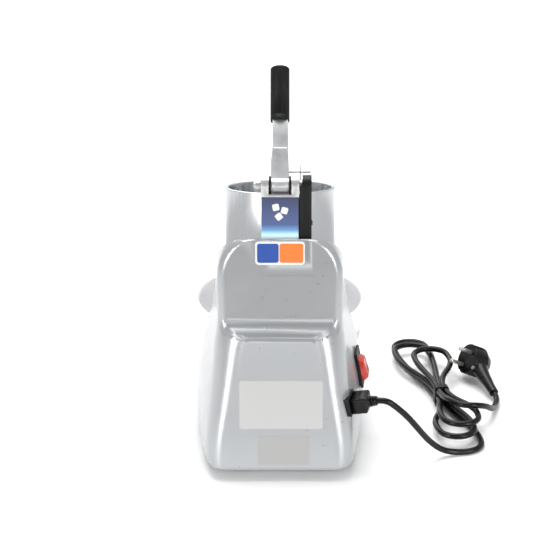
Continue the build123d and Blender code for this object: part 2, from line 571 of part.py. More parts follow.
def make_bracket():
    """Hinge bracket on the rear of the hopper: block, two ears, pin bore."""
    body = block(-BRACKET_HALF, BRACKET_HALF, HOPPER_RADIUS - 8, BRACKET_REAR, -BRACKET_DEPTH, SLOT_FLOOR)
    corner = body.edges().filter_by(Axis.Z).group_by(Axis.Y)[-1]
    body = fillet(corner, 2.0)
    for side in (-1, 1):
        inner = side * SLOT_HALF
        outer = side * BRACKET_HALF
        low, high = min(inner, outer), max(inner, outer)
        body += block(low, high, PIN_U - EAR_RADIUS, BRACKET_REAR, SLOT_FLOOR - 3, PIN_V)
        body += Pos((low + high) / 2, PIN_U, PIN_V) * Rot(0, 90, 0) * Cylinder(EAR_RADIUS + 1.0, high - low)
    body -= Pos(0, 0, -BRACKET_DEPTH / 2 - 20) * Cylinder(HOPPER_RADIUS, BRACKET_DEPTH + 80)
    body -= Pos(0, PIN_U, PIN_V) * Rot(0, 90, 0) * Cylinder(PIN_RADIUS + RUN, 60)
    body -= Pos(0, PIN_U, PIN_V) * Rot(0, 90, 0) * Cylinder(BUSH_FLANGE_RADIUS + FIT, 2 * SLOT_HALF)
    for v in BRACKET_SCREW_LEVELS:
        body -= Pos(0, BRACKET_REAR - 10, v) * Rot(90, 0, 0) * Cylinder(
            SCREW_RADIUS + RUN, 50) & block(-5, 5, HOPPER_RADIUS - 11, BRACKET_REAR - 6, -80, 0)
    keep("hinge_bracket", HOPPER * body)
    reach = BRACKET_REAR - 8 - (HOPPER_RADIUS - HOPPER_WALL)
    screws = [HOPPER * Pos(0, HOPPER_RADIUS - HOPPER_WALL, v) * Rot(90, 0, 0) * screw(
        SCREW_RADIUS, reach, SCREW_HEAD_RADIUS, 2.2) for v in BRACKET_SCREW_LEVELS]
    keep("bracket_screws", Compound(children=screws))
    low = -BRACKET_HALF - FIT
    high = BRACKET_HALF + FIT + NUT_HEIGHT + 1.5
    pin = Pos((low + high) / 2, 0, 0) * Rot(0, 90, 0) * Cylinder(PIN_RADIUS, high - low)
    pin += Pos(low - 2.0, 0, 0) * Rot(0, 90, 0) * Cylinder(PIN_RADIUS + 2.5, 4.0)
    keep("hinge_pin", HOPPER * Pos(0, PIN_U, PIN_V) * pin)
    nut = extrude(RegularPolygon(7.0, 6), NUT_HEIGHT) - Cylinder(PIN_RADIUS + RUN, 40)
    keep("hinge_nut", HOPPER * Pos(BRACKET_HALF + FIT, PIN_U, PIN_V) * Rot(0, 90, 0) * nut)


# ---- lever, bushes, switch rod -------------------------------------------------------------------------
PIN_AT = world(PIN_U, PIN_V)
HANDLE_BEND = math.radians(HANDLE_LEAN_HIGH - HANDLE_LEAN_LOW) / (GRIP_START + GRIP_LENGTH)
LEAN_LOW = math.radians(HANDLE_LEAN_LOW)


def handle_point(s, offset=0.0):
    """Y and Z on the handle: s along its gently bent middle line, offset towards the rear."""
    lean = LEAN_LOW + HANDLE_BEND * s
    y = (math.cos(lean) - math.cos(LEAN_LOW)) / HANDLE_BEND
    z = (math.sin(lean) - math.sin(LEAN_LOW)) / HANDLE_BEND
    return (PIN_AT.Y + y + offset * math.cos(lean), PIN_AT.Z + z + offset * math.sin(lean))


def handle_plane(s):
    """Plane across the handle, z_dir along it."""
    lean = LEAN_LOW + HANDLE_BEND * s
    y, z = handle_point(s)
    return Plane(origin=(0, y, z), x_dir=(1, 0, 0), z_dir=(0, -math.sin(lean), math.cos(lean)))


def crank_point():
    """Pusher pin in the world, with the lever down."""
    angle = math.radians(CRANK_ANGLE)
    return world(PIN_U - CRANK_RADIUS * math.cos(angle), PIN_V + CRANK_RADIUS * math.sin(angle))


def make_lever():
    """Bell crank: hub, handle bar that narrows to the grip, limb to the pusher pin."""
    end = GRIP_START + GRIP_LENGTH - GRIP_END
    t = LEVER_THICKNESS / 2
    rear = [(0, *handle_point(s, t)) for s in (0, end / 2, end)]
    front = [(0, *handle_point(s, -t)) for s in (end, end / 2, 0)]
    outline = Wire([ThreePointArc(*rear).edge(), Line(rear[2], front[0]).edge(),
                    ThreePointArc(*front).edge(), Line(front[2], rear[0]).edge()])
    bar = extrude(Face(outline), LEVER_HALF, dir=(1, 0, 0), both=True)
    sheath = handle_plane(0) * Polyline((LEVER_HALF, 0, -12), (LEVER_HALF, 0, 26),
                                        (LEVER_UPPER_HALF - 0.8, 0, 42), (LEVER_UPPER_HALF - 0.8, 0, 150),
                                        (-LEVER_UPPER_HALF, 0, 150), (-LEVER_UPPER_HALF, 0, 42),
                                        (-LEVER_HALF, 0, 10), (-LEVER_HALF, 0, -12), close=True)
    normal = handle_plane(0).y_dir
    bar &= extrude(make_face(sheath), 60, dir=normal, both=True)
    core = handle_plane(GRIP_START) * Pos(0, 0, GRIP_LENGTH / 2 + 40) * Box(40, 40, GRIP_LENGTH + 80)
    slim = handle_plane(GRIP_START) * Pos(0, 0, GRIP_LENGTH / 2) * Box(
        2 * GRIP_CORE_HALF, 2 * GRIP_CORE_DEPTH, GRIP_LENGTH + 60)
    bar = (bar - core) + (bar & core & slim)
    hub = Pos(0, PIN_AT.Y, PIN_AT.Z) * Rot(0, 90, 0) * Cylinder(HUB_RADIUS, 2 * LEVER_HALF)
    crank = crank_point()
    start = handle_point(LIMB_START)
    along = Vector(0, crank.Y - start[0], crank.Z - start[1])
    length = along.length
    limb_plane = Plane(origin=(0, *start), x_dir=(1, 0, 0), z_dir=along)
    limb = limb_plane * block(-LIMB_HALF, LIMB_HALF, -LIMB_THICKNESS / 2, LIMB_THICKNESS / 2, -4, length)
    eye = Pos(0, crank.Y, crank.Z) * Rot(0, 90, 0) * Cylinder(PUSHER_EYE_RADIUS, 2 * LIMB_HALF)
    lever = bar + hub + limb + eye
    lever -= Pos(0, PIN_AT.Y, PIN_AT.Z) * Rot(0, 90, 0) * Cylinder(BUSH_RADIUS, 60)
    lever -= Pos(0, crank.Y, crank.Z) * Rot(0, 90, 0) * Cylinder(PUSHER_PIN_RADIUS + RUN, 60)
    rod_y, rod_z = handle_point(ROD_FROM_PIN)
    lever -= Pos(-LEVER_HALF, rod_y, rod_z) * Rot(0, 90, 0) * Cylinder(ROD_RADIUS + RUN, 10)
    keep("lever_arm", lever)
    bushes = []
    for side in (-1, 1):
        sleeve = Pos(side * (LEVER_HALF + FIT) / 2, 0, 0) * Rot(0, 90, 0) * Cylinder(
            BUSH_RADIUS, LEVER_HALF - FIT)
        flange = Pos(side * (LEVER_HALF + BUSH_FLANGE_THICKNESS / 2), 0, 0) * Rot(0, 90, 0) * Cylinder(
            BUSH_FLANGE_RADIUS, BUSH_FLANGE_THICKNESS)
        bush = sleeve + flange
        bush -= Rot(0, 90, 0) * Cylinder(PIN_RADIUS + RUN, 60)
        bushes.append(Pos(0, PIN_AT.Y, PIN_AT.Z) * bush)
    keep("hinge_bushes", Compound(children=bushes))
    rod_x = -LEVER_HALF + 4.5
    keep("switch_rod", Pos((rod_x - ROD_REACH) / 2, rod_y, rod_z) * Rot(0, 90, 0) * Cylinder(
        ROD_RADIUS, rod_x + ROD_REACH))
    # grip: soft sleeve closed at the tip, with a plain collar at its open end
    sleeve = Cylinder(GRIP_RADIUS, GRIP_LENGTH, align=(Align.CENTER, Align.CENTER, Align.MIN))
    sleeve = fillet(sleeve.edges().group_by(Axis.Z)[-1], 2.6)
    sleeve = fillet(sleeve.edges().group_by(Axis.Z)[0], 0.8)
    sleeve -= Pos(0, 0, GRIP_COLLAR) * Torus(GRIP_RADIUS + 0.35, 0.7)
    sleeve -= centred_block(2 * (GRIP_CORE_HALF + RUN), 2 * (GRIP_CORE_DEPTH + RUN),
                            -1, GRIP_LENGTH - GRIP_END + RUN)
    keep("lever_grip", handle_plane(GRIP_START) * sleeve - lever)


def make_pusher():
    """Press plate with its post and clevis, and the pin that carries it."""
    crank = crank_point()
    frame = Plane(origin=crank, x_dir=(1, 0, 0), z_dir=AXIS)
    outer = LIMB_HALF + FIT + CLEVIS_WALL
    plate = Pos(0, 0, -PUSHER_POST + PUSHER_THICKNESS / 2) * Cylinder(PUSHER_RADIUS, PUSHER_THICKNESS)
    plate = fillet(plate.edges().filter_by(GeomType.CIRCLE), 1.5)
    post = block(-outer, outer, -PUSHER_EYE_RADIUS, PUSHER_EYE_RADIUS, -PUSHER_POST + PUSHER_THICKNESS - 1, 0)
    post += Rot(0, 90, 0) * Cylinder(PUSHER_EYE_RADIUS, 2 * outer)
    post -= extrude(make_face(Polyline((0, -12, 12), (0, -12, -10.5), (0, 1, -10.5), (0, 20, -21.5),
                                       (0, 20, 12), close=True)), LIMB_HALF + FIT, dir=(1, 0, 0), both=True)
    for index in range(PUSHER_RIBS):
        spoke = Rot(0, 0, index * 360 / PUSHER_RIBS)
        plate += spoke * Pos(0, 24, -PUSHER_POST + PUSHER_THICKNESS + 1.5) * Box(3.0, 32, 5.0)
    pusher = plate + post
    pusher -= Rot(0, 90, 0) * Cylinder(PUSHER_PIN_RADIUS + RUN, 60)
    keep("pusher_plate", frame * pusher)
    pin = Rot(0, 90, 0) * Cylinder(PUSHER_PIN_RADIUS, 2 * outer + 1.0)
    for side in (-1, 1):
        pin += Pos(side * (outer + 1.2), 0, 0) * Rot(0, 90, 0) * Cylinder(PUSHER_PIN_RADIUS + 1.2, 1.4)
    keep("pusher_pin", frame * pin)


# ---- safety switch under the cover -----------------------------------------------------------------------
def make_switch():
    """Channel cover on the bracket's side, the sealed switch in it, and its leaf."""
    outline = block(-COVER_FAR, -COVER_NEAR, HOPPER_RADIUS - 1, BRACKET_REAR + 1, -COVER_DEPTH, PIN_V)
    crown = Pos(-(COVER_FAR + COVER_NEAR) / 2, COVER_MIDDLE, PIN_V) * Rot(0, 90, 0)
    outline += crown * Cylinder(COVER_ARC, COVER_FAR - COVER_NEAR)
    inside = block(-COVER_FAR + COVER_WALL, -COVER_NEAR + 1, HOPPER_RADIUS - 1 + COVER_WALL,
                   BRACKET_REAR + 1 - COVER_WALL, -COVER_DEPTH - 1, PIN_V)
    inside += Pos(COVER_WALL, 0, 0) * crown * Cylinder(COVER_ARC - COVER_WALL, COVER_FAR - COVER_NEAR)
    cover = outline - inside
    # its near wall steps down beside the ear, and clears the ear's front
    near, far = HOPPER_RADIUS - 11, BRACKET_REAR + 8
    cover -= block(-COVER_NEAR - 3.2, -COVER_NEAR + 1, near, far, PIN_V + 4.0, 40)
    cover -= block(-COVER_NEAR - 1.8, -COVER_NEAR + 1, near, far, PIN_V + 1.0, 40)
    cover -= block(-COVER_NEAR - 1.8, -COVER_NEAR + 1, near, HOPPER_RADIUS + 2.6, -6.0, 20)
    for v in COVER_SCREW_LEVELS:
        boss = Pos(-(COVER_FAR + BRACKET_HALF + FIT) / 2, PIN_U, v) * Rot(0, 90, 0) * Cylinder(
            COVER_BOSS_RADIUS, COVER_FAR - BRACKET_HALF - FIT)
        cover += boss
        cover -= Pos(-COVER_FAR / 2, PIN_U, v) * Rot(0, 90, 0) * Cylinder(SMALL_SCREW_RADIUS + FIT, COVER_FAR)
    keep("switch_cover", HOPPER * cover)
    screws = [HOPPER * Pos(-COVER_FAR, PIN_U, v) * Rot(0, -90, 0) * screw(
        SMALL_SCREW_RADIUS, COVER_FAR - BRACKET_HALF + 6, 2.8, 1.8, 1.2) for v in COVER_SCREW_LEVELS]
    keep("cover_screws", Compound(children=screws))
    bracket = PARTS["hinge_bracket"]
    for v in COVER_SCREW_LEVELS:
        bracket -= HOPPER * Pos(-BRACKET_HALF, PIN_U, v) * Rot(0, 90, 0) * Cylinder(
            SMALL_SCREW_RADIUS + RUN, 14)
    keep("hinge_bracket", bracket)
    rod_u = HOPPER.to_local_coords(Vector(0, *handle_point(ROD_FROM_PIN))).Y
    leaf_rear = rod_u - ROD_RADIUS - FIT
    _, deep, tall = SWITCH_BODY
    switch = block(-COVER_FAR + COVER_WALL + 0.1, -COVER_NEAR - 1.6, leaf_rear - 0.6, leaf_rear - 0.6 + deep,
                   SWITCH_TOP - tall, SWITCH_TOP)
    switch -= Pos(-COVER_NEAR - 6, leaf_rear + 5, SWITCH_TOP - tall / 2) * Rot(0, 90, 0) * Cylinder(1.4, 14)
    keep("safety_switch", HOPPER * switch)
    leaf = block(-COVER_NEAR - 1.3, -COVER_NEAR - 0.1, leaf_rear - LEAF_THICKNESS, leaf_rear,
                 LEAF_BASE, LEAF_TOP)
    pivot = Vector(-COVER_NEAR - 0.7, leaf_rear - LEAF_THICKNESS / 2, LEAF_BASE)
    leaf += Pos(*pivot) * Rot(0, 90, 0) * Cylinder(LEAF_EYE_RADIUS, 1.2)
    keep("switch_leaf", HOPPER * leaf)
    return HOPPER.from_local_coords(pivot)


# ---- disc, shaft, bearings, belt drive, motor ---------------------------------------------------------------
def make_disc():
    """Blade disc, its two blades and their screws, shaft, nut and two bearings."""
    top = -HOPPER_DEPTH - DISC_GAP
    disc = rod(DISC_RADIUS, top - DISC_THICKNESS, top)
    disc += rod(DISC_HUB_RADIUS, HUB_TOP + 1.0, top)
    disc -= rod(SHAFT_RADIUS + RUN, HUB_TOP, top + 1)
    blades = []
    screws = []
    for turn in (0, 180):
        spin = HOPPER * Rot(0, 0, turn)
        disc -= spin * block(18, 50, 3, 9, top - 6, top + 1)
        edge = top + BLADE_HEIGHT
        corners = [(-8, top), (3, top), (3, top + 0.5), (-1, edge), (-8, edge)]
        section = make_face(Polyline([(BLADE_START, y, z) for y, z in corners], close=True))
        blade = spin * extrude(section, BLADE_LENGTH, dir=(1, 0, 0))
        for x in BLADE_SCREWS:
            blade -= spin * Pos(x, -3, top) * Cylinder(SMALL_SCREW_RADIUS + 0.1, 20)
            disc -= spin * Pos(x, -3, top) * Cylinder(SMALL_SCREW_RADIUS + RUN, 20)
            screws.append(spin * Pos(x, -3, edge) * screw(SMALL_SCREW_RADIUS, 6.0, 2.6, 0.5))
        blades.append(blade)
    keep("blade_disc", disc)
    keep("blades", Compound(children=blades))
    keep("blade_screws", Compound(children=screws))
    bottom = PLATE_LEVEL - PLATE_THICKNESS - PULLEY_DROP - PULLEY_WIDTH - 1
    keep("disc_shaft", rod(SHAFT_RADIUS, bottom, top - 0.5) + rod(SHAFT_END_RADIUS, top - 1, top + 6.5))
    nut = extrude(RegularPolygon(6.5, 6), 6.0) - Cylinder(SHAFT_END_RADIUS + RUN, 30)
    keep("disc_nut", HOPPER * Pos(0, 0, top + 0.05) * nut)
    for name, level in (("upper_bearing", HUB_TOP - BEARING_WIDTH), ("lower_bearing", PLATE_LEVEL - 1.0)):
        ring = rod(BEARING_RADIUS - RUN, level + 0.1, level + BEARING_WIDTH - 0.1)
        ring -= rod(SHAFT_RADIUS + RUN, level - 1, level + BEARING_WIDTH + 1)
        keep(name, ring)


def pulley(radius, bore, level, u):
    """Flanged belt wheel below the drive plate."""
    wheel = rod(radius, level - PULLEY_WIDTH, level, u)
    for v in (level - PULLEY_RIM, level - PULLEY_WIDTH):
        wheel += rod(radius + PULLEY_FLANGE, v, v + PULLEY_RIM, u)
    return wheel - rod(bore + RUN, level - PULLEY_WIDTH - 1, level + 1, u)


def make_drive():
    """Steel drive bracket, motor with its rotor, belt and pulleys, all below the head."""
    low = PLATE_LEVEL - PLATE_THICKNESS
    plate = local_block(-PLATE_HALF, PLATE_HALF, PLATE_FRONT, PLATE_REAR, low, PLATE_LEVEL)
    bracket = plate + rod(BEARING_RADIUS + HUB_WALL, low, PLATE_LEVEL + BEARING_WIDTH)
    front = world(PLATE_FRONT, low)
    rear = world(PLATE_REAR, low)
    leg = make_face(Polyline((0, front.Y, front.Z + 1), (0, rear.Y, rear.Z + 1), (0, rear.Y - 12, BODY_BOTTOM),
                             (0, front.Y + 4, BODY_BOTTOM), close=True))
    leg_middle = PLATE_HALF - LEG_THICKNESS / 2
    for side in (-1, 1):
        bracket += Pos(side * leg_middle - LEG_THICKNESS / 2, 0, 0) * extrude(
            leg, LEG_THICKNESS, dir=(1, 0, 0))
        ends = sorted((side * leg_middle, side * (leg_middle + LEG_FOOT)))
        bracket += block(*ends, front.Y + 4, rear.Y - 14, BODY_BOTTOM, BODY_BOTTOM + LEG_THICKNESS)
    bracket -= rod(BEARING_RADIUS, PLATE_LEVEL - 1.0, PLATE_LEVEL + BEARING_WIDTH + 1)
    bracket -= rod(SHAFT_RADIUS + 3.0, low - 1, PLATE_LEVEL + 1)
    bracket -= rod(MOTOR_SHAFT_RADIUS + 4.0, low - 1, PLATE_LEVEL + 1, MOTOR_OFFSET)
    offsets = (-MOTOR_SCREW_PLACE, MOTOR_SCREW_PLACE)
    motor_places = [(x, MOTOR_OFFSET + u) for x in offsets for u in offsets]
    for x, u in motor_places:
        bracket -= rod(MOTOR_SCREW_RADIUS + FIT, low - 1, PLATE_LEVEL + 1, u, x)
    foot_holes = [(side * (PLATE_HALF + 8), y) for side in (-1, 1) for y in (front.Y + 14, rear.Y - 26)]
    for x, y in foot_holes:
        bracket -= Pos(x, y, BODY_BOTTOM) * Cylinder(SCREW_RADIUS + FIT, 20)
    keep("drive_bracket", bracket)
    base = PARTS["base_casting"]
    for x, y in foot_holes:
        base -= Pos(x, y, BODY_BOTTOM) * Cylinder(SCREW_RADIUS + RUN, 2 * BASE_THICKNESS - 1)
    keep("base_casting", base)
    bolt = screw(SCREW_RADIUS, BASE_THICKNESS + 3.0, SCREW_HEAD_RADIUS, SCREW_HEAD_HEIGHT, SOCKET_RADIUS)
    keep("bracket_bolts", Compound(children=[
        Pos(x, y, BODY_BOTTOM + LEG_THICKNESS) * bolt for x, y in foot_holes]))
    top = PLATE_LEVEL + MOTOR_LENGTH
    motor = rod(MOTOR_RADIUS, PLATE_LEVEL, top, MOTOR_OFFSET)
    motor = fillet(motor.edges().filter_by(GeomType.CIRCLE), 3.0)
    slot = Pos(MOTOR_RADIUS, 0, (PLATE_LEVEL + top) / 2) * Box(3.0, 4.0, MOTOR_LENGTH - 24)
    for index in range(MOTOR_SLOTS):
        motor -= HOPPER * Pos(0, MOTOR_OFFSET, 0) * Rot(0, 0, index * 360 / MOTOR_SLOTS) * slot
    motor -= rod(MOTOR_RADIUS - MOTOR_WALL, PLATE_LEVEL + MOTOR_WALL, top - MOTOR_WALL, MOTOR_OFFSET)
    motor -= rod(MOTOR_SHAFT_RADIUS + RUN, PLATE_LEVEL - 1, PLATE_LEVEL + MOTOR_WALL + 1, MOTOR_OFFSET)
    for x, u in motor_places:
        motor -= rod(MOTOR_SCREW_RADIUS + RUN, PLATE_LEVEL - 1, PLATE_LEVEL + MOTOR_WALL - 0.5, u, x)
    keep("motor_case", motor)
    fixing = Rot(180, 0, 0) * screw(MOTOR_SCREW_RADIUS, 9.0, 3.5, 2.4)
    keep("motor_screws", Compound(children=[HOPPER * Pos(x, u, low) * fixing for x, u in motor_places]))
    shaft_low = low - PULLEY_DROP - PULLEY_WIDTH - 1
    rotor = rod(MOTOR_SHAFT_RADIUS, shaft_low, PLATE_LEVEL + 12, MOTOR_OFFSET)
    rotor += rod(MOTOR_RADIUS - 9, PLATE_LEVEL + 10, top - 10, MOTOR_OFFSET)
    keep("motor_rotor", rotor)
    level = low - PULLEY_DROP
    keep("disc_pulley", pulley(DISC_PULLEY_RADIUS, SHAFT_RADIUS, level, 0))
    keep("motor_pulley", pulley(MOTOR_PULLEY_RADIUS, MOTOR_SHAFT_RADIUS, level, MOTOR_OFFSET))
    middle = level - PULLEY_WIDTH / 2
    keep("drive_belt", HOPPER * Pos(0, 0, middle - BELT_WIDTH / 2) * extrude(
        belt_plan(FIT + BELT_THICKNESS) - belt_plan(FIT), BELT_WIDTH))


def belt_plan(gap):
    """Outline of a loop round both pulleys at a gap from them."""
    big = DISC_PULLEY_RADIUS + gap
    small = MOTOR_PULLEY_RADIUS + gap
    lean = math.asin((big - small) / MOTOR_OFFSET)
    side = math.cos(lean)
    up = math.sin(lean)
    sheet = make_face(Polyline((big * side, big * up), (small * side, MOTOR_OFFSET + small * up),
                               (-small * side, MOTOR_OFFSET + small * up), (-big * side, big * up),
                               close=True))
    return sheet + Circle(big) + Pos(0, MOTOR_OFFSET) * Circle(small)


# ---- bowl --------------------------------------------------------------------------------------------------
def make_bowl():
    """Spun steel bowl: flat foot, deep rounded wall, flat turned-out lip."""
    base = PLINTH_TOP
    lip = BOWL_TOP
    neck = BOWL_RADIUS - BOWL_LIP
    outer = ThreePointArc((BOWL_FOOT_RADIUS, 0, base), (neck - 11.5, 0, base + 31), (neck, 0, lip - 10))
    inner = ThreePointArc((BOWL_FOOT_RADIUS - 0.6, 0, base + BOWL_WALL), (neck - 12.5, 0, base + 31.6),
                          (neck - BOWL_WALL, 0, lip - 10))
    lines = [Line((0, 0, base), outer @ 0), outer, Line(outer @ 1, (neck, 0, lip - BOWL_WALL)),
             Line((neck, 0, lip - BOWL_WALL), (BOWL_RADIUS, 0, lip - BOWL_WALL)),
             Line((BOWL_RADIUS, 0, lip - BOWL_WALL), (BOWL_RADIUS, 0, lip)),
             Line((BOWL_RADIUS, 0, lip), (neck - BOWL_WALL, 0, lip)),
             Line((neck - BOWL_WALL, 0, lip), inner @ 1), inner,
             Line(inner @ 0, (0, 0, base + BOWL_WALL)), Line((0, 0, base + BOWL_WALL), (0, 0, base))]
    section = make_face([line.edge() for line in lines])
    keep("bowl", Pos(0, BOWL_Y, 0) * revolve(section, Axis.Z))


# ---- mains switch and inlet -----------------------------------------------------------------------------------
def make_rocker():
    """Snap-in switch frame and its rocker; local x runs to the rear, y down, z out."""
    width, height, depth = ROCKER_BEZEL
    bezel = centred_block(width, height, 0.2, depth + 0.2)
    bezel = fillet(bezel.edges().filter_by(Axis.Z), 3.0)
    frame = bezel + centred_block(ROCKER_CUTOUT[0] - 2 * FIT, ROCKER_CUTOUT[1] - 2 * FIT, -17.0, 1.0)
    frame -= centred_block(20.6, 31.0, -12.0, depth + 2)
    axle = Rot(0, 90, 0) * Cylinder(ROCKER_AXLE_RADIUS, 22.4)
    frame -= Pos(0, 0, ROCKER_PIVOT) * Rot(0, 90, 0) * Cylinder(ROCKER_AXLE_RADIUS + RUN, 23.4)
    keep("switch_frame", ROCKER_PLANE * frame)
    outline = make_face(Polyline((0, -13.2, 1.0), (0, -9.0, 8.3), (0, 10.2, 10.6), (0, 13.2, 6.4),
                                 (0, 13.4, 1.0), (0, 8.0, -7.5), (0, -8.0, -7.5), close=True))
    body = extrude(outline, ROCKER_HALF, dir=(1, 0, 0), both=True)
    body = fillet(body.edges().filter_by(Axis.X).sort_by(Axis.Z)[-3:], 1.0)
    keep("rocker", ROCKER_PLANE * (body + Pos(0, 0, ROCKER_PIVOT) * axle))
    return ROCKER_PLANE.from_local_coords(Vector(0, 0, ROCKER_PIVOT))


def make_inlet():
    """Snap-in power inlet with three blades, and the lead's connector plugged into it."""
    width, height, depth = INLET_FLANGE
    body = centred_block(width, height, 0.2, 0.2 + depth)
    body += centred_block(INLET_CUTOUT[0] - 2 * FIT, INLET_CUTOUT[1] - 2 * FIT, -19.0, 1.0)
    body -= centred_block(24.6, 16.6, -16.0, 3.0)
    keep("power_inlet", INLET_PLANE * body)
    blades = [INLET_PLANE * block(x - 2.0, x + 2.0, y - 1.0, y + 1.0, -16.0, -2.0)
              for x, y in INLET_BLADES]
    keep("inlet_blades", Compound(children=blades))
    width, height, length = CONNECTOR_SIZE
    shell = centred_block(width, height, 1.8 + FIT, length - 4)
    shell = fillet(shell.edges().filter_by(Axis.Z), 2.5)
    shell = chamfer(shell.edges().group_by(Axis.Z)[-1], 1.5)
    shell += centred_block(24.0, 16.0, -14.5, 3.0)
    for x, y in INLET_BLADES:
        shell -= block(x - 2.3, x + 2.3, y - 1.3, y + 1.3, -15.0, -1.5)
    relief = Pos(0, 0, length - 5) * extrude(Circle(6.6), RELIEF_LENGTH + 1, taper=8)
    for index in range(3):
        relief -= Pos(0, 0, length - 1.2 + index * 3.0) * (
            Cylinder(9.0, 1.2) - Cylinder(4.6, 1.2) - Rot(0, 0, 90 * (index % 2)) * Box(3.0, 20, 2))
    keep("cord_connector", INLET_PLANE * (shell + relief))


# ---- lead, hank, tail, tie and plug -------------------------------------------------------------------------------
def hank_point(side, far, z):
    """Place in the hank: side towards -X, far away from the waist, height."""
    return Vector(WAIST_X, WAIST_Y, z) + HANK_SIDE * side + HANK_FAR * far


def run(start, end, heading):
    """Two equal arcs from start to end that leave and arrive along the same heading."""
    middle = (start + end) * 0.5
    first = TangentArc(start, middle, tangent=heading)
    return [first.edge(), TangentArc(middle, end, tangent=first % 1).edge()]


def hank_edges():
    """The wound stretch: three far loops and two near ones, a layer higher after each turn."""
    column = CORD_STEP / 2
    low = CORD_RADIUS + TIE_THICKNESS + FIT
    edges = []
    start = hank_point(-2, -127, CORD_RADIUS)
    entry = hank_point(22, -103, CORD_RADIUS)
    edges.append(TangentArc(start, entry, tangent=HANK_SIDE).edge())
    here = entry
    for turn, (right, reach, left, near_left, near_reach, near_right) in enumerate(HANK_LOOPS):
        level = low + turn * CORD_LAYER
        rest = CORD_RADIUS if turn == 0 else level
        waist_right = hank_point(column, 0, level)
        far_right = hank_point(right, reach, rest)
        far_left = hank_point(left, reach, rest)
        waist_left = hank_point(-column, 0, level)
        edges += run(here, waist_right, HANK_FAR)
        edges += run(waist_right, far_right, HANK_FAR)
        edges.append(TangentArc(far_right, far_left, tangent=HANK_FAR).edge())
        edges += run(far_left, waist_left, HANK_FAR * -1)
        here = waist_left
        if near_reach:
            above = level + CORD_LAYER
            near_a = hank_point(near_left, -near_reach, above)
            near_b = hank_point(near_right, -near_reach, above)
            edges += run(waist_left, near_a, HANK_FAR * -1)
            edges.append(TangentArc(near_a, near_b, tangent=HANK_FAR * -1).edge())
            here = near_b
    end = here - HANK_FAR * 10
    edges.append(Line(here, end).edge())
    return edges, start, end


def cord_tube(points):
    """Cord along straight runs joined by tangent arcs; prints its radii."""
    points = [Vector(*p) for p in points]
    radii = []
    for a, b, c in zip(points, points[1:], points[2:]):
        turn = math.radians((b - a).get_angle(c - b))
        radii.append(0.45 * min((b - a).length, (c - b).length) / math.tan(turn / 2))
    print("cord radii", [round(r) for r in radii])
    path = FilletPolyline(*points, radius=radii)
    return sweep_cord(path.wire())


def sweep_cord(path):
    """Round cord along a path."""
    section = Plane(origin=path @ 0, z_dir=path % 0) * Circle(CORD_RADIUS)
    tube = sweep(section, path=path)
    expected = math.pi * CORD_RADIUS ** 2 * path.length
    print("cord length", round(path.length, 1), "volume share", round(tube.volume / expected, 4))
    return tube


def least_gap(path, step=3.0):
    """Least distance between stretches of a path that aren't neighbours, less a diameter."""
    count = int(path.length / step)
    points = [path @ (i / count) for i in range(count + 1)]
    apart = int(30.0 / step)
    return min((points[i] - points[j]).length for i in range(count)
               for j in range(i + apart, count + 1)) - 2 * CORD_RADIUS


def make_cord():
    """Lead down to the table, tied hank, tail over the hank to the plug, and the tie."""
    edges, hank_start, hank_end = hank_edges()
    path = Wire(edges)
    print("hank gap", round(least_gap(path), 2), "length", round(path.length))
    keep("cord_hank", sweep_cord(path))
    exit_point = INLET_PLANE.from_local_coords(Vector(0, 0, CONNECTOR_SIZE[2] - 4 + RELIEF_LENGTH))
    out = INLET_PLANE.z_dir
    lead = [exit_point, exit_point + out * 10] + [Vector(*p) for p in LEAD_ROUTE] + [
        hank_start - HANK_SIDE * 11, hank_start]
    keep("cord_lead", cord_tube(lead))
    frame = plug_frame()
    neck_end = frame * Vector(0, NECK_LENGTH, -NECK_DEPTH)
    neck = frame * Vector(0, 1, 0) - frame * Vector(0, 0, 0)
    tail = [hank_end, hank_end - HANK_FAR * 9] + [Vector(*p) for p in TAIL_ROUTE] + [
        neck_end + neck * 11, neck_end]
    keep("cord_tail", cord_tube(tail))
    strands = CORD_RADIUS + CORD_STEP / 2
    height = 2 * CORD_RADIUS + 2 * CORD_LAYER
    middle = CORD_RADIUS + TIE_THICKNESS + FIT + CORD_LAYER
    band = Rectangle(2 * (strands + FIT + TIE_THICKNESS), height + 2 * (FIT + TIE_THICKNESS) - 0.1)
    band = fillet(band.vertices(), 4.4)
    hole = Rectangle(2 * (strands + FIT), height + 2 * FIT)
    hole = fillet(hole.vertices(), 3.4)
    tie_plane = Plane(origin=hank_point(0, -TIE_WIDTH / 2, middle), x_dir=HANK_SIDE, z_dir=HANK_FAR)
    keep("cord_tie", tie_plane * extrude(band - hole, TIE_WIDTH))


def plug_frame():
    """Plug's own frame at its face: x along the pin line, y along the cable neck, z out of the face."""
    plane = Plane(origin=PLUG_FACE, x_dir=PLUG_S, z_dir=PLUG_P)
    return PlugFrame(plane)


class PlugFrame:
    """The plug's plane, with y turned so that it runs along the cable neck."""

    def __init__(self, plane):
        self.plane = plane
        self.flip = -1.0 if plane.y_dir.dot(Vector(*PLUG_W)) > 0 else 1.0

    def __mul__(self, item):
        if isinstance(item, Vector):
            return self.plane.from_local_coords(Vector(item.X, item.Y * self.flip, item.Z))
        if self.flip < 0:
            item = mirror(item, Plane.XZ)
        return self.plane * item


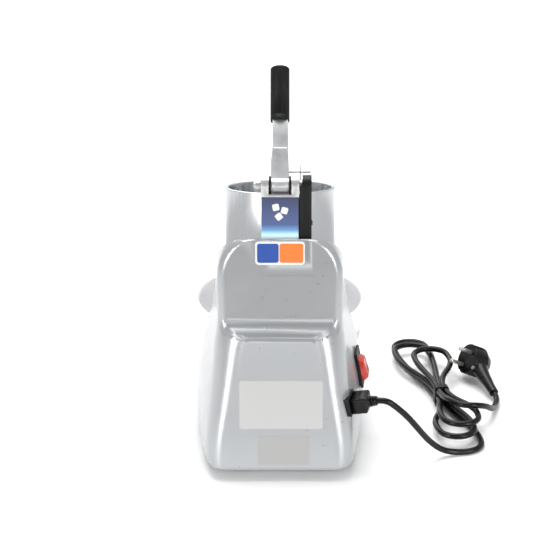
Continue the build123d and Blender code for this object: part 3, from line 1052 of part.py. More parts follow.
def make_plug():
    """Right-angled mains plug: round face with side notches, neck, two pins, earth strips."""
    frame = plug_frame()
    face = Pos(0, 0, -PLUG_DEPTH / 2) * Cylinder(PLUG_RADIUS, PLUG_DEPTH)
    face = fillet(face.edges().group_by(Axis.Z)[-1], 1.5)
    back = Pos(0, 2, -PLUG_DEPTH) * extrude(Circle(PLUG_RADIUS - 1), -8, taper=30)
    neck = loft([Plane(origin=(0, 8, -13.5), z_dir=(0, 1, 0.0)) * Circle(11.5),
                 Plane(origin=(0, 24, -12.5), z_dir=(0, 1, 0.0)) * Circle(8.6),
                 Plane(origin=(0, NECK_LENGTH, -NECK_DEPTH), z_dir=(0, 1, 0.0)) * Circle(5.4)])
    body = face + back + neck
    for side in (-1, 1):
        body -= Pos(0, side * PLUG_RADIUS, -6) * Box(5.0, 2.4, 14)
        body -= Pos(side * PLUG_RADIUS, 0, -6) * Box(3.0, 5.0, 13)
    for side in (-1, 1):
        body -= Pos(side * PLUG_PIN_PITCH / 2, 0, 0) * Cylinder(PLUG_ROOT_RADIUS + RUN, 20)
    keep("plug_body", frame * body)
    pins = []
    for side in (-1, 1):
        pin = Pos(0, 0, PLUG_PIN_LENGTH / 2) * Cylinder(PLUG_PIN_RADIUS, PLUG_PIN_LENGTH)
        pin = fillet(pin.edges().group_by(Axis.Z)[-1], PLUG_PIN_ROUND)
        pin += Pos(0, 0, -PLUG_ROOT_LENGTH / 2) * Cylinder(PLUG_ROOT_RADIUS, PLUG_ROOT_LENGTH)
        pins.append(frame * (Pos(side * PLUG_PIN_PITCH / 2, 0, 0) * pin))
    keep("plug_pins", Compound(children=pins))
    strips = [frame * (Pos(0, side * (PLUG_RADIUS - 0.75), -6) * Box(4.4, 0.8, 13)) for side in (-1, 1)]
    keep("plug_earth_strips", Compound(children=strips))


make_base()
make_feet()
make_housing()
make_head()
make_hopper()
make_bracket()
make_lever()
make_pusher()
LEAF_PIVOT = make_switch()
make_disc()
make_drive()
make_bowl()
ROCKER_AT = make_rocker()
make_inlet()
make_cord()
make_plug()

os.makedirs("parts", exist_ok=True)
for part_name, part_shape in PARTS.items():
    export_step(part_shape, f"parts/{part_name}.step")
lowest = {name: round(shape.bounding_box().min.Z, 2) for name, shape in PARTS.items()}
print("lowest", min(lowest.items(), key=lambda item: item[1]))
print("pin", PIN_AT, "crank", crank_point(), "leaf", LEAF_PIVOT, "rocker", ROCKER_AT)
print("disc axis", world(0, -HOPPER_DEPTH), "motor axis", world(MOTOR_OFFSET, PLATE_LEVEL))
print("rocker axis", ROCKER_PLANE.x_dir)
for side in (-1, 1):
    print("plug pin", plug_frame() * Vector(side * PLUG_PIN_PITCH / 2, 0, (PLUG_PIN_LENGTH - PLUG_PIN_ROUND) / 2),
          "along", plug_frame().plane.z_dir)
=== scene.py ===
"""Electric ice crusher with a hand press lever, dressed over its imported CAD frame.

Everything is in metres in the frame's own axes: +Z is up, the tall rear face looks towards +Y,
and the mains switch, the power inlet and the lead are on the -X side.
"""
from __future__ import annotations

import logging
import math
from dataclasses import dataclass, field
from enum import Enum
from typing import Any, Sequence

import bmesh
import bpy
from mathutils import Matrix, Vector

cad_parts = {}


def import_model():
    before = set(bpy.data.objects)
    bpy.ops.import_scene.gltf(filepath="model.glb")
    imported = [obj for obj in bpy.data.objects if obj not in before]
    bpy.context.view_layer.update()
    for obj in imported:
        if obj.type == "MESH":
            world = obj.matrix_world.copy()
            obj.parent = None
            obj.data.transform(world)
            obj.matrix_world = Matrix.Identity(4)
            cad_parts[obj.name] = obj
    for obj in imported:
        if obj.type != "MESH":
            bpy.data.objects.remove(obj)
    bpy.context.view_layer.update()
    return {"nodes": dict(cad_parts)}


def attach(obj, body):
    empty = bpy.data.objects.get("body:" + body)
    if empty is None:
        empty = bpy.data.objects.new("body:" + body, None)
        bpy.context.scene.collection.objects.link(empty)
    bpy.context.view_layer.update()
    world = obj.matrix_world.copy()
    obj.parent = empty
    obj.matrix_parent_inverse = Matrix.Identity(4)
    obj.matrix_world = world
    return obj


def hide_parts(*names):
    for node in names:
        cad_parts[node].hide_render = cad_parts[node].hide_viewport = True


LOG = logging.getLogger("ice_crusher")
MM = 0.001
HOPPER_LEAN = math.radians(12.7)      # the hopper leans forward by this much
RIM_Y = 28.0 * MM                     # middle of the hopper's rim
RIM_Z = 289.0 * MM
COLUMN_Y = 129.0 * MM                 # rear face of the housing's column
BOWL_Y = -58.0 * MM                   # middle of the bowl


# ---------------------------------------------------------------------------------------------
# Small tools
# ---------------------------------------------------------------------------------------------
def linear(colour: str) -> tuple[float, float, float, float]:
    """Turn an sRGB hex value into linear light.

    Args:
        colour: six hex digits after a hash sign.

    Returns:
        Red, green, blue and full opacity.
    """
    parts = [int(colour[i:i + 2], 16) / 255 for i in (1, 3, 5)]
    return (*[p / 12.92 if p <= 0.04045 else ((p + 0.055) / 1.055) ** 2.4 for p in parts], 1.0)


def add_node(tree: bpy.types.NodeTree, kind: str, settings: dict[str, Any] | None = None,
             links: dict[str, bpy.types.NodeSocket] | None = None, **sockets: Any) -> bpy.types.Node:
    """Add one shader node with its settings, socket values and incoming links.

    Args:
        tree: the material's node tree.
        kind: the node's type name.
        settings: properties of the node itself.
        links: for an input's name, the socket that feeds it.
        **sockets: values of inputs, with underscores for the spaces in their names.

    Returns:
        The new node.
    """
    node = tree.nodes.new(kind)
    for name, value in (settings or {}).items():
        setattr(node, name, value)
    for name, value in sockets.items():
        node.inputs[name.replace("_", " ")].default_value = value
    for name, socket in (links or {}).items():
        tree.links.new(socket, node.inputs[name])
    return node


def add_math(tree: bpy.types.NodeTree, operation: str,
             *feeds: bpy.types.NodeSocket) -> bpy.types.NodeSocket:
    """Add one math node fed by other sockets.

    Args:
        tree: the material's node tree.
        operation: the sum's name.
        *feeds: the sockets that feed it, in order.

    Returns:
        The socket with the result.
    """
    node = add_node(tree, "ShaderNodeMath", {"operation": operation})
    for feed, socket in zip(feeds, node.inputs):
        tree.links.new(feed, socket)
    return node.outputs["Value"]


def deselect() -> None:
    """Leave edit mode and deselect every object."""
    if bpy.context.object and bpy.context.object.mode != "OBJECT":
        bpy.ops.object.mode_set(mode="OBJECT")
    bpy.ops.object.select_all(action="DESELECT")


def activate(piece: bpy.types.Object) -> None:
    """Make one object the only selected and active one."""
    deselect()
    piece.select_set(True)
    bpy.context.view_layer.objects.active = piece


def settle(piece: bpy.types.Object) -> None:
    """Move an object's place, turn and size into its mesh."""
    activate(piece)
    bpy.ops.object.transform_apply(location=True, rotation=True, scale=True)


def close_up(piece: bpy.types.Object, distance: float = 1e-6) -> None:
    """Merge doubled corners and turn all faces outwards."""
    activate(piece)
    bpy.ops.object.mode_set(mode="EDIT")
    bpy.ops.mesh.select_all(action="SELECT")
    bpy.ops.mesh.remove_doubles(threshold=distance)
    bpy.ops.mesh.normals_make_consistent(inside=False)
    bpy.ops.object.mode_set(mode="OBJECT")


def smooth(piece: bpy.types.Object, degrees: float = 30.0) -> None:
    """Shade smooth across edges that turn less than an angle."""
    activate(piece)
    bpy.ops.object.shade_smooth_by_angle(angle=math.radians(degrees))


def apply_modifier(piece: bpy.types.Object, kind: str, **settings: Any) -> None:
    """Add one modifier to a piece and apply it."""
    activate(piece)
    modifier = piece.modifiers.new(kind.title(), kind)
    for name, value in settings.items():
        setattr(modifier, name, value)
    bpy.ops.object.modifier_apply(modifier=modifier.name)


def from_hopper(x: float, u: float, v: float) -> Vector:
    """Place of a point given across, radially rearwards and along the leaning hopper."""
    sine, cosine = math.sin(HOPPER_LEAN), math.cos(HOPPER_LEAN)
    return Vector((x, RIM_Y + u * cosine - v * sine, RIM_Z + u * sine + v * cosine))


# ---------------------------------------------------------------------------------------------
# Finishes
# ---------------------------------------------------------------------------------------------
@dataclass(frozen=True)
class Finish:
    """What all finishes share: a base colour, gloss, and a fine relief read from Object coordinates."""

    name: str
    colour: str
    metallic: float = 0.0
    roughness: float = 0.5
    coat: float = 0.0
    coat_roughness: float = 0.1
    specular: float = 0.5          # share of the mirrored light of a non-metal
    grain_mm: float = 1.0          # size of one grain of the relief
    grain_height_mm: float = 0.0
    grain_strength: float = 0.3
    grain_detail: float = 3.0
    mottle: float = 0.0            # how much the gloss varies from place to place
    mottle_mm: float = 12.0
    shade: float = 0.0             # how much the colour varies

    def material(self) -> bpy.types.Material:
        """Build the material, or return it if it is there already.

        Returns:
            The material with its node tree.
        """
        made = bpy.data.materials.get(self.name)
        if made:
            return made
        made = bpy.data.materials.new(self.name)
        made.use_nodes = True
        tree = made.node_tree
        tree.nodes.clear()
        shader = add_node(tree, "ShaderNodeBsdfPrincipled")
        output = add_node(tree, "ShaderNodeOutputMaterial", links={"Surface": shader.outputs["BSDF"]})
        output.is_active_output = True
        shader.inputs["Base Color"].default_value = linear(self.colour)
        shader.inputs["Metallic"].default_value = self.metallic
        shader.inputs["Roughness"].default_value = self.roughness
        shader.inputs["Specular IOR Level"].default_value = self.specular
        shader.inputs["Coat Weight"].default_value = self.coat
        shader.inputs["Coat Roughness"].default_value = self.coat_roughness
        place = add_node(tree, "ShaderNodeTexCoord").outputs["Object"]
        self.dress(tree, shader, place)
        return made

    def dress(self, tree: bpy.types.NodeTree, shader: bpy.types.Node, place: bpy.types.NodeSocket) -> None:
        """Add the grain, the mottled gloss and the slow changes of colour.

        Args:
            tree: the material's node tree.
            shader: its surface shader.
            place: the Object coordinates.
        """
        self.grain(tree, shader, place)
        self.gloss(tree, shader, place)
        self.tint(tree, shader, place)

    def grain(self, tree: bpy.types.NodeTree, shader: bpy.types.Node, place: bpy.types.NodeSocket) -> None:
        """Fine relief of even grains."""
        if not self.grain_height_mm:
            return
        noise = add_node(tree, "ShaderNodeTexNoise", links={"Vector": place},
                         Scale=1.0 / (self.grain_mm * MM), Detail=self.grain_detail, Roughness=0.6)
        bump = add_node(tree, "ShaderNodeBump", links={"Height": noise.outputs["Fac"]},
                        Strength=self.grain_strength, Distance=self.grain_height_mm * MM)
        tree.links.new(bump.outputs["Normal"], shader.inputs["Normal"])

    def gloss(self, tree: bpy.types.NodeTree, shader: bpy.types.Node, place: bpy.types.NodeSocket) -> None:
        """Slow changes of gloss, as handling leaves them."""
        if not self.mottle:
            return
        noise = add_node(tree, "ShaderNodeTexNoise", links={"Vector": place},
                         Scale=1.0 / (self.mottle_mm * MM), Detail=4.0, Roughness=0.65)
        spread = add_node(tree, "ShaderNodeMapRange", links={"Value": noise.outputs["Fac"]},
                          From_Min=0.3, From_Max=0.7,
                          To_Min=max(0.02, self.roughness - self.mottle), To_Max=self.roughness + self.mottle)
        tree.links.new(spread.outputs["Result"], shader.inputs["Roughness"])

    def tint(self, tree: bpy.types.NodeTree, shader: bpy.types.Node, place: bpy.types.NodeSocket) -> None:
        """Slow changes of colour."""
        if not self.shade:
            return
        noise = add_node(tree, "ShaderNodeTexNoise", links={"Vector": place},
                         Scale=1.0 / (self.mottle_mm * MM), Detail=3.0, Roughness=0.5)
        dark = tuple(c * (1 - self.shade) for c in linear(self.colour)[:3])
        ramp = add_node(tree, "ShaderNodeValToRGB", links={"Fac": noise.outputs["Fac"]})
        ramp.color_ramp.elements[0].position = 0.3
        ramp.color_ramp.elements[0].color = (*dark, 1.0)
        ramp.color_ramp.elements[1].position = 0.7
        ramp.color_ramp.elements[1].color = linear(self.colour)
        tree.links.new(ramp.outputs["Color"], shader.inputs["Base Color"])


@dataclass(frozen=True)
class TurnedMetal(Finish):
    """Metal turned or spun round an axis: very fine rings catch the light."""

    ring_mm: float = 0.6
    axis_y: float = 0.0            # the axis passes here, leaning forward by lean
    axis_z: float = 0.0
    lean: float = 0.0

    def dress(self, tree: bpy.types.NodeTree, shader: bpy.types.Node, place: bpy.types.NodeSocket) -> None:
        """Add rings round the axis, stacked along it, and the mottled gloss."""
        turned = add_node(tree, "ShaderNodeMapping", {"vector_type": "TEXTURE"}, {"Vector": place},
                          Location=(0.0, self.axis_y, self.axis_z), Rotation=(self.lean, 0.0, 0.0))
        rings = add_node(tree, "ShaderNodeTexNoise", {"noise_dimensions": "1D"}, Detail=4.0, Roughness=0.7,
                         Scale=1.0 / (self.ring_mm * MM))
        parts = add_node(tree, "ShaderNodeSeparateXYZ", links={"Vector": turned.outputs["Vector"]})
        squares = [add_math(tree, "MULTIPLY", parts.outputs[side], parts.outputs[side]) for side in "XY"]
        radius = add_math(tree, "SQRT", add_math(tree, "ADD", *squares))
        tree.links.new(add_math(tree, "ADD", radius, parts.outputs["Z"]), rings.inputs["W"])
        bump = add_node(tree, "ShaderNodeBump", links={"Height": rings.outputs["Fac"]},
                        Strength=self.grain_strength, Distance=self.grain_height_mm * MM)
        tree.links.new(bump.outputs["Normal"], shader.inputs["Normal"])
        self.gloss(tree, shader, place)


@dataclass(frozen=True)
class TablePaper(Finish):
    """Matt white paper roll with painted shade: its colour darkens towards the camera, standing in for the
    lamp light that doesn't reach it there.
    """

    bright_y: float = 0.36         # in its own colour up to here
    dim_y: float = 0.66            # painted shade is darkest from here on
    # painted shade: the grey that the paper's colour darkens to, for light that doesn't reach it
    painted_shade_colour: str = "#7C7C7C"

    def dress(self, tree: bpy.types.NodeTree, shader: bpy.types.Node, place: bpy.types.NodeSocket) -> None:
        """Paint the fall of light along Y into the colour, as painted shade."""
        parts = add_node(tree, "ShaderNodeSeparateXYZ", links={"Vector": place})
        share = add_node(tree, "ShaderNodeMapRange", {"interpolation_type": "SMOOTHSTEP"},
                         {"Value": parts.outputs["Y"]}, From_Min=self.bright_y, From_Max=self.dim_y)
        mixed = add_node(tree, "ShaderNodeMix", {"data_type": "RGBA"})
        tree.links.new(share.outputs["Result"], mixed.inputs[0])
        mixed.inputs[6].default_value = linear(self.colour)
        mixed.inputs[7].default_value = linear(self.painted_shade_colour)
        tree.links.new(mixed.outputs[2], shader.inputs["Base Color"])


@dataclass(frozen=True)
class FadedPrint(Finish):
    """Printed foil whose colour runs down from one to the next."""

    top: float = 0.0               # heights between which the print runs
    bottom: float = 0.0
    stops: tuple[tuple[float, str], ...] = ()      # share of the height, and the colour there

    def dress(self, tree: bpy.types.NodeTree, shader: bpy.types.Node, place: bpy.types.NodeSocket) -> None:
        """Add the running colour."""
        parts = add_node(tree, "ShaderNodeSeparateXYZ", links={"Vector": place})
        share = add_node(tree, "ShaderNodeMapRange", links={"Value": parts.outputs["Z"]},
                         From_Min=self.bottom, From_Max=self.top, To_Min=0.0, To_Max=1.0)
        ramp = add_node(tree, "ShaderNodeValToRGB", links={"Fac": share.outputs["Result"]})
        elements = ramp.color_ramp.elements
        while len(elements) < len(self.stops):
            elements.new(0.5)
        for element, (position, colour) in zip(elements, self.stops):
            element.position = position
            element.color = linear(colour)
        tree.links.new(ramp.outputs["Color"], shader.inputs["Base Color"])
        self.grain(tree, shader, place)


class Look(Enum):
    """Every finish on the machine."""

    # sprayed silver lacquer: bright flake under clear gloss, with the slight orange peel of spraying
    LACQUER = Finish("silver_lacquer", "#A6A8AA", metallic=0.5, roughness=0.30, coat=0.35,
                     coat_roughness=0.06, grain_mm=3.5, grain_height_mm=0.012, grain_strength=0.2,
                     grain_detail=0.0, mottle=0.03)
    # gravity-cast aluminium left as it comes from the mould: grey, grainy, half matt
    CAST = Finish("cast_aluminium", "#A9A9A7", metallic=0.85, roughness=0.48, grain_mm=0.7,
                  grain_height_mm=0.12, grain_strength=0.55, mottle=0.08, mottle_mm=6.0, shade=0.12)
    # the same metal polished on the lever: soft shine, small scratches
    BUFFED = Finish("buffed_aluminium", "#C9CACB", metallic=0.9, roughness=0.42, grain_mm=0.9,
                    grain_height_mm=0.03, grain_strength=0.4, mottle=0.07, mottle_mm=9.0)
    # turned and polished aluminium of the hopper: mirror-like with faint tool rings
    HOPPER = TurnedMetal("turned_aluminium", "#D9DBDD", metallic=1.0, roughness=0.30, ring_mm=1.1,
                         grain_height_mm=0.012, grain_strength=0.4, mottle=0.04, mottle_mm=20.0,
                         axis_y=RIM_Y, axis_z=RIM_Z, lean=HOPPER_LEAN)
    # spun stainless steel of the bowl, polished to a mirror
    BOWL = TurnedMetal("spun_stainless", "#FBFBFC", metallic=0.5, roughness=0.34, ring_mm=2.0,
                       grain_height_mm=0.01, grain_strength=0.3, mottle=0.03, mottle_mm=25.0,
                       axis_y=BOWL_Y)
    # zinc-plated fasteners and bearing steel
    ZINC = Finish("zinc_plate", "#B4B6B6", metallic=1.0, roughness=0.32, grain_mm=0.8, grain_height_mm=0.02,
                  mottle=0.08, mottle_mm=4.0)
    # ground blade steel
    BLADE = Finish("ground_steel", "#BFC2C4", metallic=1.0, roughness=0.22, grain_mm=0.5,
                   grain_height_mm=0.02, mottle=0.05, mottle_mm=5.0)
    # nickel-plated brass of the plug and the inlet
    NICKEL = Finish("nickel_plate", "#D2CFC8", metallic=0.85, roughness=0.38, grain_mm=1.0,
                    grain_height_mm=0.01, mottle=0.06, mottle_mm=3.0)
    # moulded nitrile rubber of the grip: matt with a fine eroded texture
    GRIP = Finish("grip_rubber", "#070708", specular=0.25, roughness=0.58, grain_mm=1.0, grain_height_mm=0.25,
                  grain_strength=0.8, mottle=0.08, mottle_mm=8.0)
    # rubber of the feet, smoother and a little shiny from handling
    FOOT = Finish("foot_rubber", "#09090A", specular=0.4, roughness=0.34, grain_mm=1.2,
                  grain_height_mm=0.05, mottle=0.08)
    # moulded black ABS with a spark-eroded surface
    ABS = Finish("black_abs", "#0A0A0C", specular=0.28, roughness=0.42, grain_mm=0.8, grain_height_mm=0.06,
                 grain_strength=0.5, mottle=0.06, mottle_mm=10.0)
    # flexible PVC of the lead, its connector and its plug: satin black
    PVC = Finish("cord_pvc", "#060607", specular=0.28, roughness=0.30, grain_mm=1.4, grain_height_mm=0.04,
                 grain_strength=0.4, mottle=0.06, mottle_mm=15.0)
    # polycarbonate rocker, dyed red through and glossy
    ROCKER = Finish("red_polycarbonate", "#C9301F", roughness=0.18, coat=0.4, grain_mm=2.0,
                    grain_height_mm=0.01, mottle=0.04)
    # dark stoved lacquer of the motor's case
    MOTOR = Finish("motor_lacquer", "#2A2D31", roughness=0.45, grain_mm=1.5, grain_height_mm=0.05,
                   mottle=0.08)
    # bare silver foil of the rating plate, and white paper-faced film
    FOIL = Finish("bare_foil", "#B0B0AF", metallic=0.05, roughness=0.38, grain_mm=4.0, grain_height_mm=0.03,
                  mottle=0.05, mottle_mm=18.0)
    FILM = Finish("white_film", "#DADAD8", roughness=0.40, grain_mm=4.0, grain_height_mm=0.02, mottle=0.04)
    # the same film, greyer, and the coloured ones
    GREY_FILM = Finish("grey_film", "#9A9A99", roughness=0.42, grain_mm=4.0, grain_height_mm=0.02,
                       mottle=0.04)
    BLUE_FILM = Finish("blue_film", "#2C4E9B", roughness=0.32, coat=0.3, grain_mm=4.0, grain_height_mm=0.02,
                       mottle=0.04)
    ORANGE_FILM = Finish("orange_film", "#DE7A36", roughness=0.32, coat=0.3, grain_mm=4.0,
                         grain_height_mm=0.02, mottle=0.04)
    # printed foil on the hinge bracket, dark blue at the top and ice-coloured below
    ICE = FadedPrint("ice_print", "#8FC1DE", roughness=0.26, coat=0.5, grain_mm=5.0, grain_height_mm=0.02,
                     top=306.5 * MM, bottom=262.0 * MM,
                     stops=((0.0, "#E8F8FC"), (0.10, "#BFE6F4"), (0.21, "#4E8FC4"), (0.34, "#24427E"),
                            (1.0, "#15244C")))

    def material(self) -> bpy.types.Material:
        """The finish's material."""
        return self.value.material()


def dress(piece: bpy.types.Object, look: Look) -> None:
    """Give a piece one material all over."""
    piece.data.materials.clear()
    piece.data.materials.append(look.material())
    for polygon in getattr(piece.data, "polygons", ()):
        polygon.material_index = 0


# ---------------------------------------------------------------------------------------------
# Pieces that keep the frame's shape
# ---------------------------------------------------------------------------------------------
@dataclass(frozen=True)
class Dressing:
    """How one node of the frame is finished."""

    node: str
    body: str
    slot: str
    look: Look
    angle: float = 30.0            # edges that turn less than this are shaded smooth
    bevel_mm: float = 0.0          # width of the broken edges, where they show


@dataclass
class DressedFrame:
    """Copies of the frame's nodes with merged corners, broken edges and real finishes."""

    nodes: dict[str, bpy.types.Object]
    pieces: list[Dressing] = field(default_factory=lambda: [
        Dressing("housing", "machine", "painted_silver", Look.LACQUER, 24.0),
        Dressing("base_casting", "machine", "painted_silver", Look.LACQUER, 35.0),
        Dressing("head_casting", "machine", "cast_aluminium", Look.CAST, 30.0, 0.5),
        Dressing("hopper", "machine", "polished_aluminium", Look.HOPPER),
        Dressing("hinge_bracket", "machine", "cast_aluminium", Look.CAST, 30.0, 0.7),
        Dressing("lever_arm", "lever", "cast_aluminium", Look.BUFFED, 30.0, 0.8),
        Dressing("lever_grip", "lever", "black_rubber", Look.GRIP, 40.0),
        Dressing("hinge_bushes", "lever", "black_plastic", Look.ABS),
        Dressing("switch_rod", "lever", "steel", Look.ZINC),
        Dressing("pusher_pin", "lever", "steel", Look.ZINC),
        Dressing("pusher_plate", "pusher", "cast_aluminium", Look.CAST, 30.0, 0.5),
        Dressing("hinge_pin", "machine", "steel", Look.ZINC, 30.0, 0.4),
        Dressing("hinge_nut", "machine", "steel", Look.ZINC, 30.0, 0.4),
        Dressing("switch_cover", "machine", "black_plastic", Look.ABS, 30.0, 0.4),
        Dressing("safety_switch", "machine", "black_plastic", Look.ABS),
        Dressing("switch_leaf", "leaf", "steel", Look.ZINC),
        Dressing("switch_frame", "machine", "black_plastic", Look.ABS, 30.0, 0.5),
        Dressing("rocker", "rocker", "red_plastic", Look.ROCKER, 35.0, 0.5),
        Dressing("power_inlet", "machine", "black_plastic", Look.ABS, 30.0, 0.4),
        Dressing("inlet_blades", "machine", "brass", Look.NICKEL),
        Dressing("cord_connector", "machine", "cord_rubber", Look.PVC, 35.0),
        Dressing("cord_tie", "machine", "black_plastic", Look.ABS, 35.0),
        Dressing("plug_body", "machine", "cord_rubber", Look.PVC, 35.0, 0.4),
        Dressing("plug_pins", "machine", "steel", Look.NICKEL, 40.0),
        Dressing("plug_earth_strips", "machine", "brass", Look.NICKEL, 30.0),
        Dressing("rubber_feet", "machine", "black_rubber", Look.FOOT, 35.0),
        Dressing("blade_disc", "disc", "cast_aluminium", Look.BUFFED, 30.0),
        Dressing("blades", "disc", "blade_steel", Look.BLADE),
        Dressing("blade_screws", "disc", "steel", Look.ZINC),
        Dressing("disc_nut", "disc", "steel", Look.ZINC),
        Dressing("disc_shaft", "disc", "steel", Look.ZINC),
        Dressing("disc_pulley", "disc", "cast_aluminium", Look.BUFFED),
        Dressing("motor_pulley", "rotor", "steel", Look.ZINC),
        Dressing("motor_rotor", "rotor", "steel", Look.ZINC),
        Dressing("motor_case", "machine", "motor_steel", Look.MOTOR),
        Dressing("drive_bracket", "machine", "steel", Look.ZINC),
        Dressing("drive_belt", "machine", "black_rubber", Look.FOOT),
        Dressing("upper_bearing", "machine", "steel", Look.ZINC),
        Dressing("lower_bearing", "machine", "steel", Look.ZINC),
        *[Dressing(name, "machine", "steel", Look.ZINC)
          for name in ("base_screws", "foot_screws", "head_screws", "hopper_screws", "bracket_screws",
                       "cover_screws", "bracket_bolts", "motor_screws")],
    ])
    column_low: float = 178.0 * MM         # heights between which the column's rear face is flat
    column_high: float = 260.0 * MM
    column_reach: float = 0.15 * MM        # corners that lie closer to it than this belong to it

    def build(self) -> dict[str, bpy.types.Object]:
        """Copy, merge, bevel and dress each listed node.

        Returns:
            The finished pieces by their node's name.
        """
        made = {}
        for entry in self.pieces:
            source = self.nodes[entry.node]
            piece = source.copy()
            piece.data = source.data.copy()
            piece.parent = None
            piece.name = f"{entry.node}_finished"
            for key in [k for k in piece.keys() if k.startswith("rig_")]:
                del piece[key]
            bpy.context.scene.collection.objects.link(piece)
            self.merge(piece)
            if entry.node == "housing":
                self.flatten_column(piece)
            if entry.bevel_mm:
                self.break_edges(piece, entry.bevel_mm * MM)
            smooth(piece, entry.angle)
            dress(piece, entry.look)
            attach(piece, entry.body)
            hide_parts(entry.node)
            made[entry.node] = piece
            LOG.info("%s: %d faces", piece.name, len(piece.data.polygons))
        return made

    @staticmethod
    def merge(piece: bpy.types.Object) -> None:
        """Join the copy's loose triangles at the corners that they share."""
        activate(piece)
        bpy.ops.object.mode_set(mode="EDIT")
        bpy.ops.mesh.select_all(action="SELECT")
        bpy.ops.mesh.remove_doubles(threshold=1e-6)
        bpy.ops.object.mode_set(mode="OBJECT")

    def flatten_column(self, piece: bpy.types.Object) -> None:
        """Press the column's rear face flat, where the bracket's recess nearly comes through it."""
        for vertex in piece.data.vertices:
            at_height = self.column_low < vertex.co.z < self.column_high
            if at_height and abs(vertex.co.y - COLUMN_Y) < self.column_reach:
                vertex.co.y = COLUMN_Y

    @staticmethod
    def break_edges(piece: bpy.types.Object, width: float) -> None:
        """Round the sharp edges off by a small width."""
        apply_modifier(piece, "DECIMATE", decimate_type="DISSOLVE", angle_limit=math.radians(0.5))
        apply_modifier(piece, "BEVEL", width=width, segments=2, limit_method="ANGLE",
                       angle_limit=math.radians(40), use_clamp_overlap=True, miter_outer="MITER_ARC")


# ---------------------------------------------------------------------------------------------
# Bowl
# ---------------------------------------------------------------------------------------------
@dataclass
class Bowl:
    """Spun steel bowl with a flat foot, a deep rounded wall and a rolled lip."""

    foot_z: float = 20.0 * MM
    foot_radius: float = 52.0 * MM
    foot_edge: float = 4.0 * MM        # the flat of the foot ends this far inside its radius
    heel_rise: float = 0.8 * MM        # height of the wall's lower end over the foot
    belly_rise: float = 31.0 * MM      # the wall swells out at this height over the foot
    belly_inset: float = 11.5 * MM     # and lies this far inside the neck there
    neck_radius: float = 95.0 * MM
    neck_drop: float = 10.0 * MM       # the neck starts this far under the lip
    flare: float = 3.0 * MM            # radius of the outward turn above the neck
    flare_drop: float = 4.0 * MM       # it starts this far under the lip
    lip_radius: float = 100.6 * MM
    lip_z: float = 121.9 * MM
    roll: float = 1.3 * MM             # radius of the rolled lip
    roll_drop: float = 1.0 * MM
    wall: float = 1.2 * MM
    pole: float = 0.5 * MM             # the profile starts this far from the axis
    arc_steps: int = 22
    spin_steps: int = 128

    def profile(self) -> list[Vector]:
        """Outside of the bowl from the middle of its foot to the lip, in the X-Z plane.

        Returns:
            The profile's points.
        """
        foot = (self.pole, self.foot_radius * 0.5, self.foot_radius - self.foot_edge)
        points = [Vector((x, 0, self.foot_z)) for x in foot]
        start = Vector((self.foot_radius, 0, self.foot_z + self.heel_rise))
        belly = Vector((self.neck_radius - self.belly_inset, 0, self.foot_z + self.belly_rise))
        end = Vector((self.neck_radius, 0, self.lip_z - self.neck_drop))
        points += [self.on_arc(start, belly, end, i / self.arc_steps) for i in range(self.arc_steps + 1)]
        turn = self.flare
        points += [Vector((self.neck_radius + turn * (1 - math.cos(a)), 0,
                           self.lip_z - self.flare_drop + turn * math.sin(a)))
                   for a in (math.radians(d) for d in (0, 30, 60, 90))]
        hub = Vector((self.lip_radius - self.roll, 0, self.lip_z - self.roll_drop - self.roll))
        points += [hub + Vector((self.roll * math.sin(a), 0, self.roll * math.cos(a)))
                   for a in (math.radians(d) for d in (0, 45, 90, 135, 180))]
        return points

    @staticmethod
    def on_arc(start: Vector, knee: Vector, end: Vector, share: float) -> Vector:
        """Point on the circle through three points, at a share of the way.

        Args:
            start: where the arc starts.
            knee: a point it passes.
            end: where it ends.
            share: 0 at the start, 1 at the end.

        Returns:
            The point.
        """
        ax, az, bx, bz, cx, cz = start.x, start.z, knee.x, knee.z, end.x, end.z
        d = 2 * (ax * (bz - cz) + bx * (cz - az) + cx * (az - bz))
        sa, sb, sc = ax * ax + az * az, bx * bx + bz * bz, cx * cx + cz * cz
        hub = Vector(((sa * (bz - cz) + sb * (cz - az) + sc * (az - bz)) / d, 0,
                      (sa * (cx - bx) + sb * (ax - cx) + sc * (bx - ax)) / d))
        first = math.atan2(start.z - hub.z, start.x - hub.x)
        last = math.atan2(end.z - hub.z, end.x - hub.x)
        angle = first + (last - first) * share
        radius = (start - hub).length
        return hub + Vector((radius * math.cos(angle), 0, radius * math.sin(angle)))

    def build(self) -> bpy.types.Object:
        """Spin the profile and give it a wall.

        Returns:
            The bowl.
        """
        mesh = bpy.data.meshes.new("bowl_finished")
        points = self.profile()
        mesh.from_pydata(points, [(i, i + 1) for i in range(len(points) - 1)], [])
        piece = bpy.data.objects.new("bowl_finished", mesh)
        bpy.context.scene.collection.objects.link(piece)
        activate(piece)
        bpy.ops.object.mode_set(mode="EDIT")
        bpy.ops.mesh.select_all(action="SELECT")
        bpy.ops.mesh.spin(steps=self.spin_steps, angle=math.tau, center=(0, 0, 0), axis=(0, 0, 1))
        bpy.ops.mesh.select_all(action="SELECT")
        bpy.ops.mesh.remove_doubles(threshold=2e-5)
        bpy.ops.mesh.select_all(action="DESELECT")
        bpy.ops.object.mode_set(mode="OBJECT")
        self.close_pole(piece)
        close_up(piece, 1e-5)
        apply_modifier(piece, "SOLIDIFY", thickness=self.wall, offset=-1.0)
        piece.data.transform(Matrix.Translation((0, BOWL_Y, 0)))
        smooth(piece, 40)
        dress(piece, Look.BOWL)
        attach(piece, "bowl")
        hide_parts("bowl")
        return piece

    def close_pole(self, piece: bpy.types.Object) -> None:
        """Fill the small hole at the middle of the foot."""
        work = bmesh.new()
        work.from_mesh(piece.data)
        rim = [e for e in work.edges if e.is_boundary and e.verts[0].co.xy.length < 2 * self.pole]
        bmesh.ops.holes_fill(work, edges=rim, sides=0)
        work.to_mesh(piece.data)
        work.free()


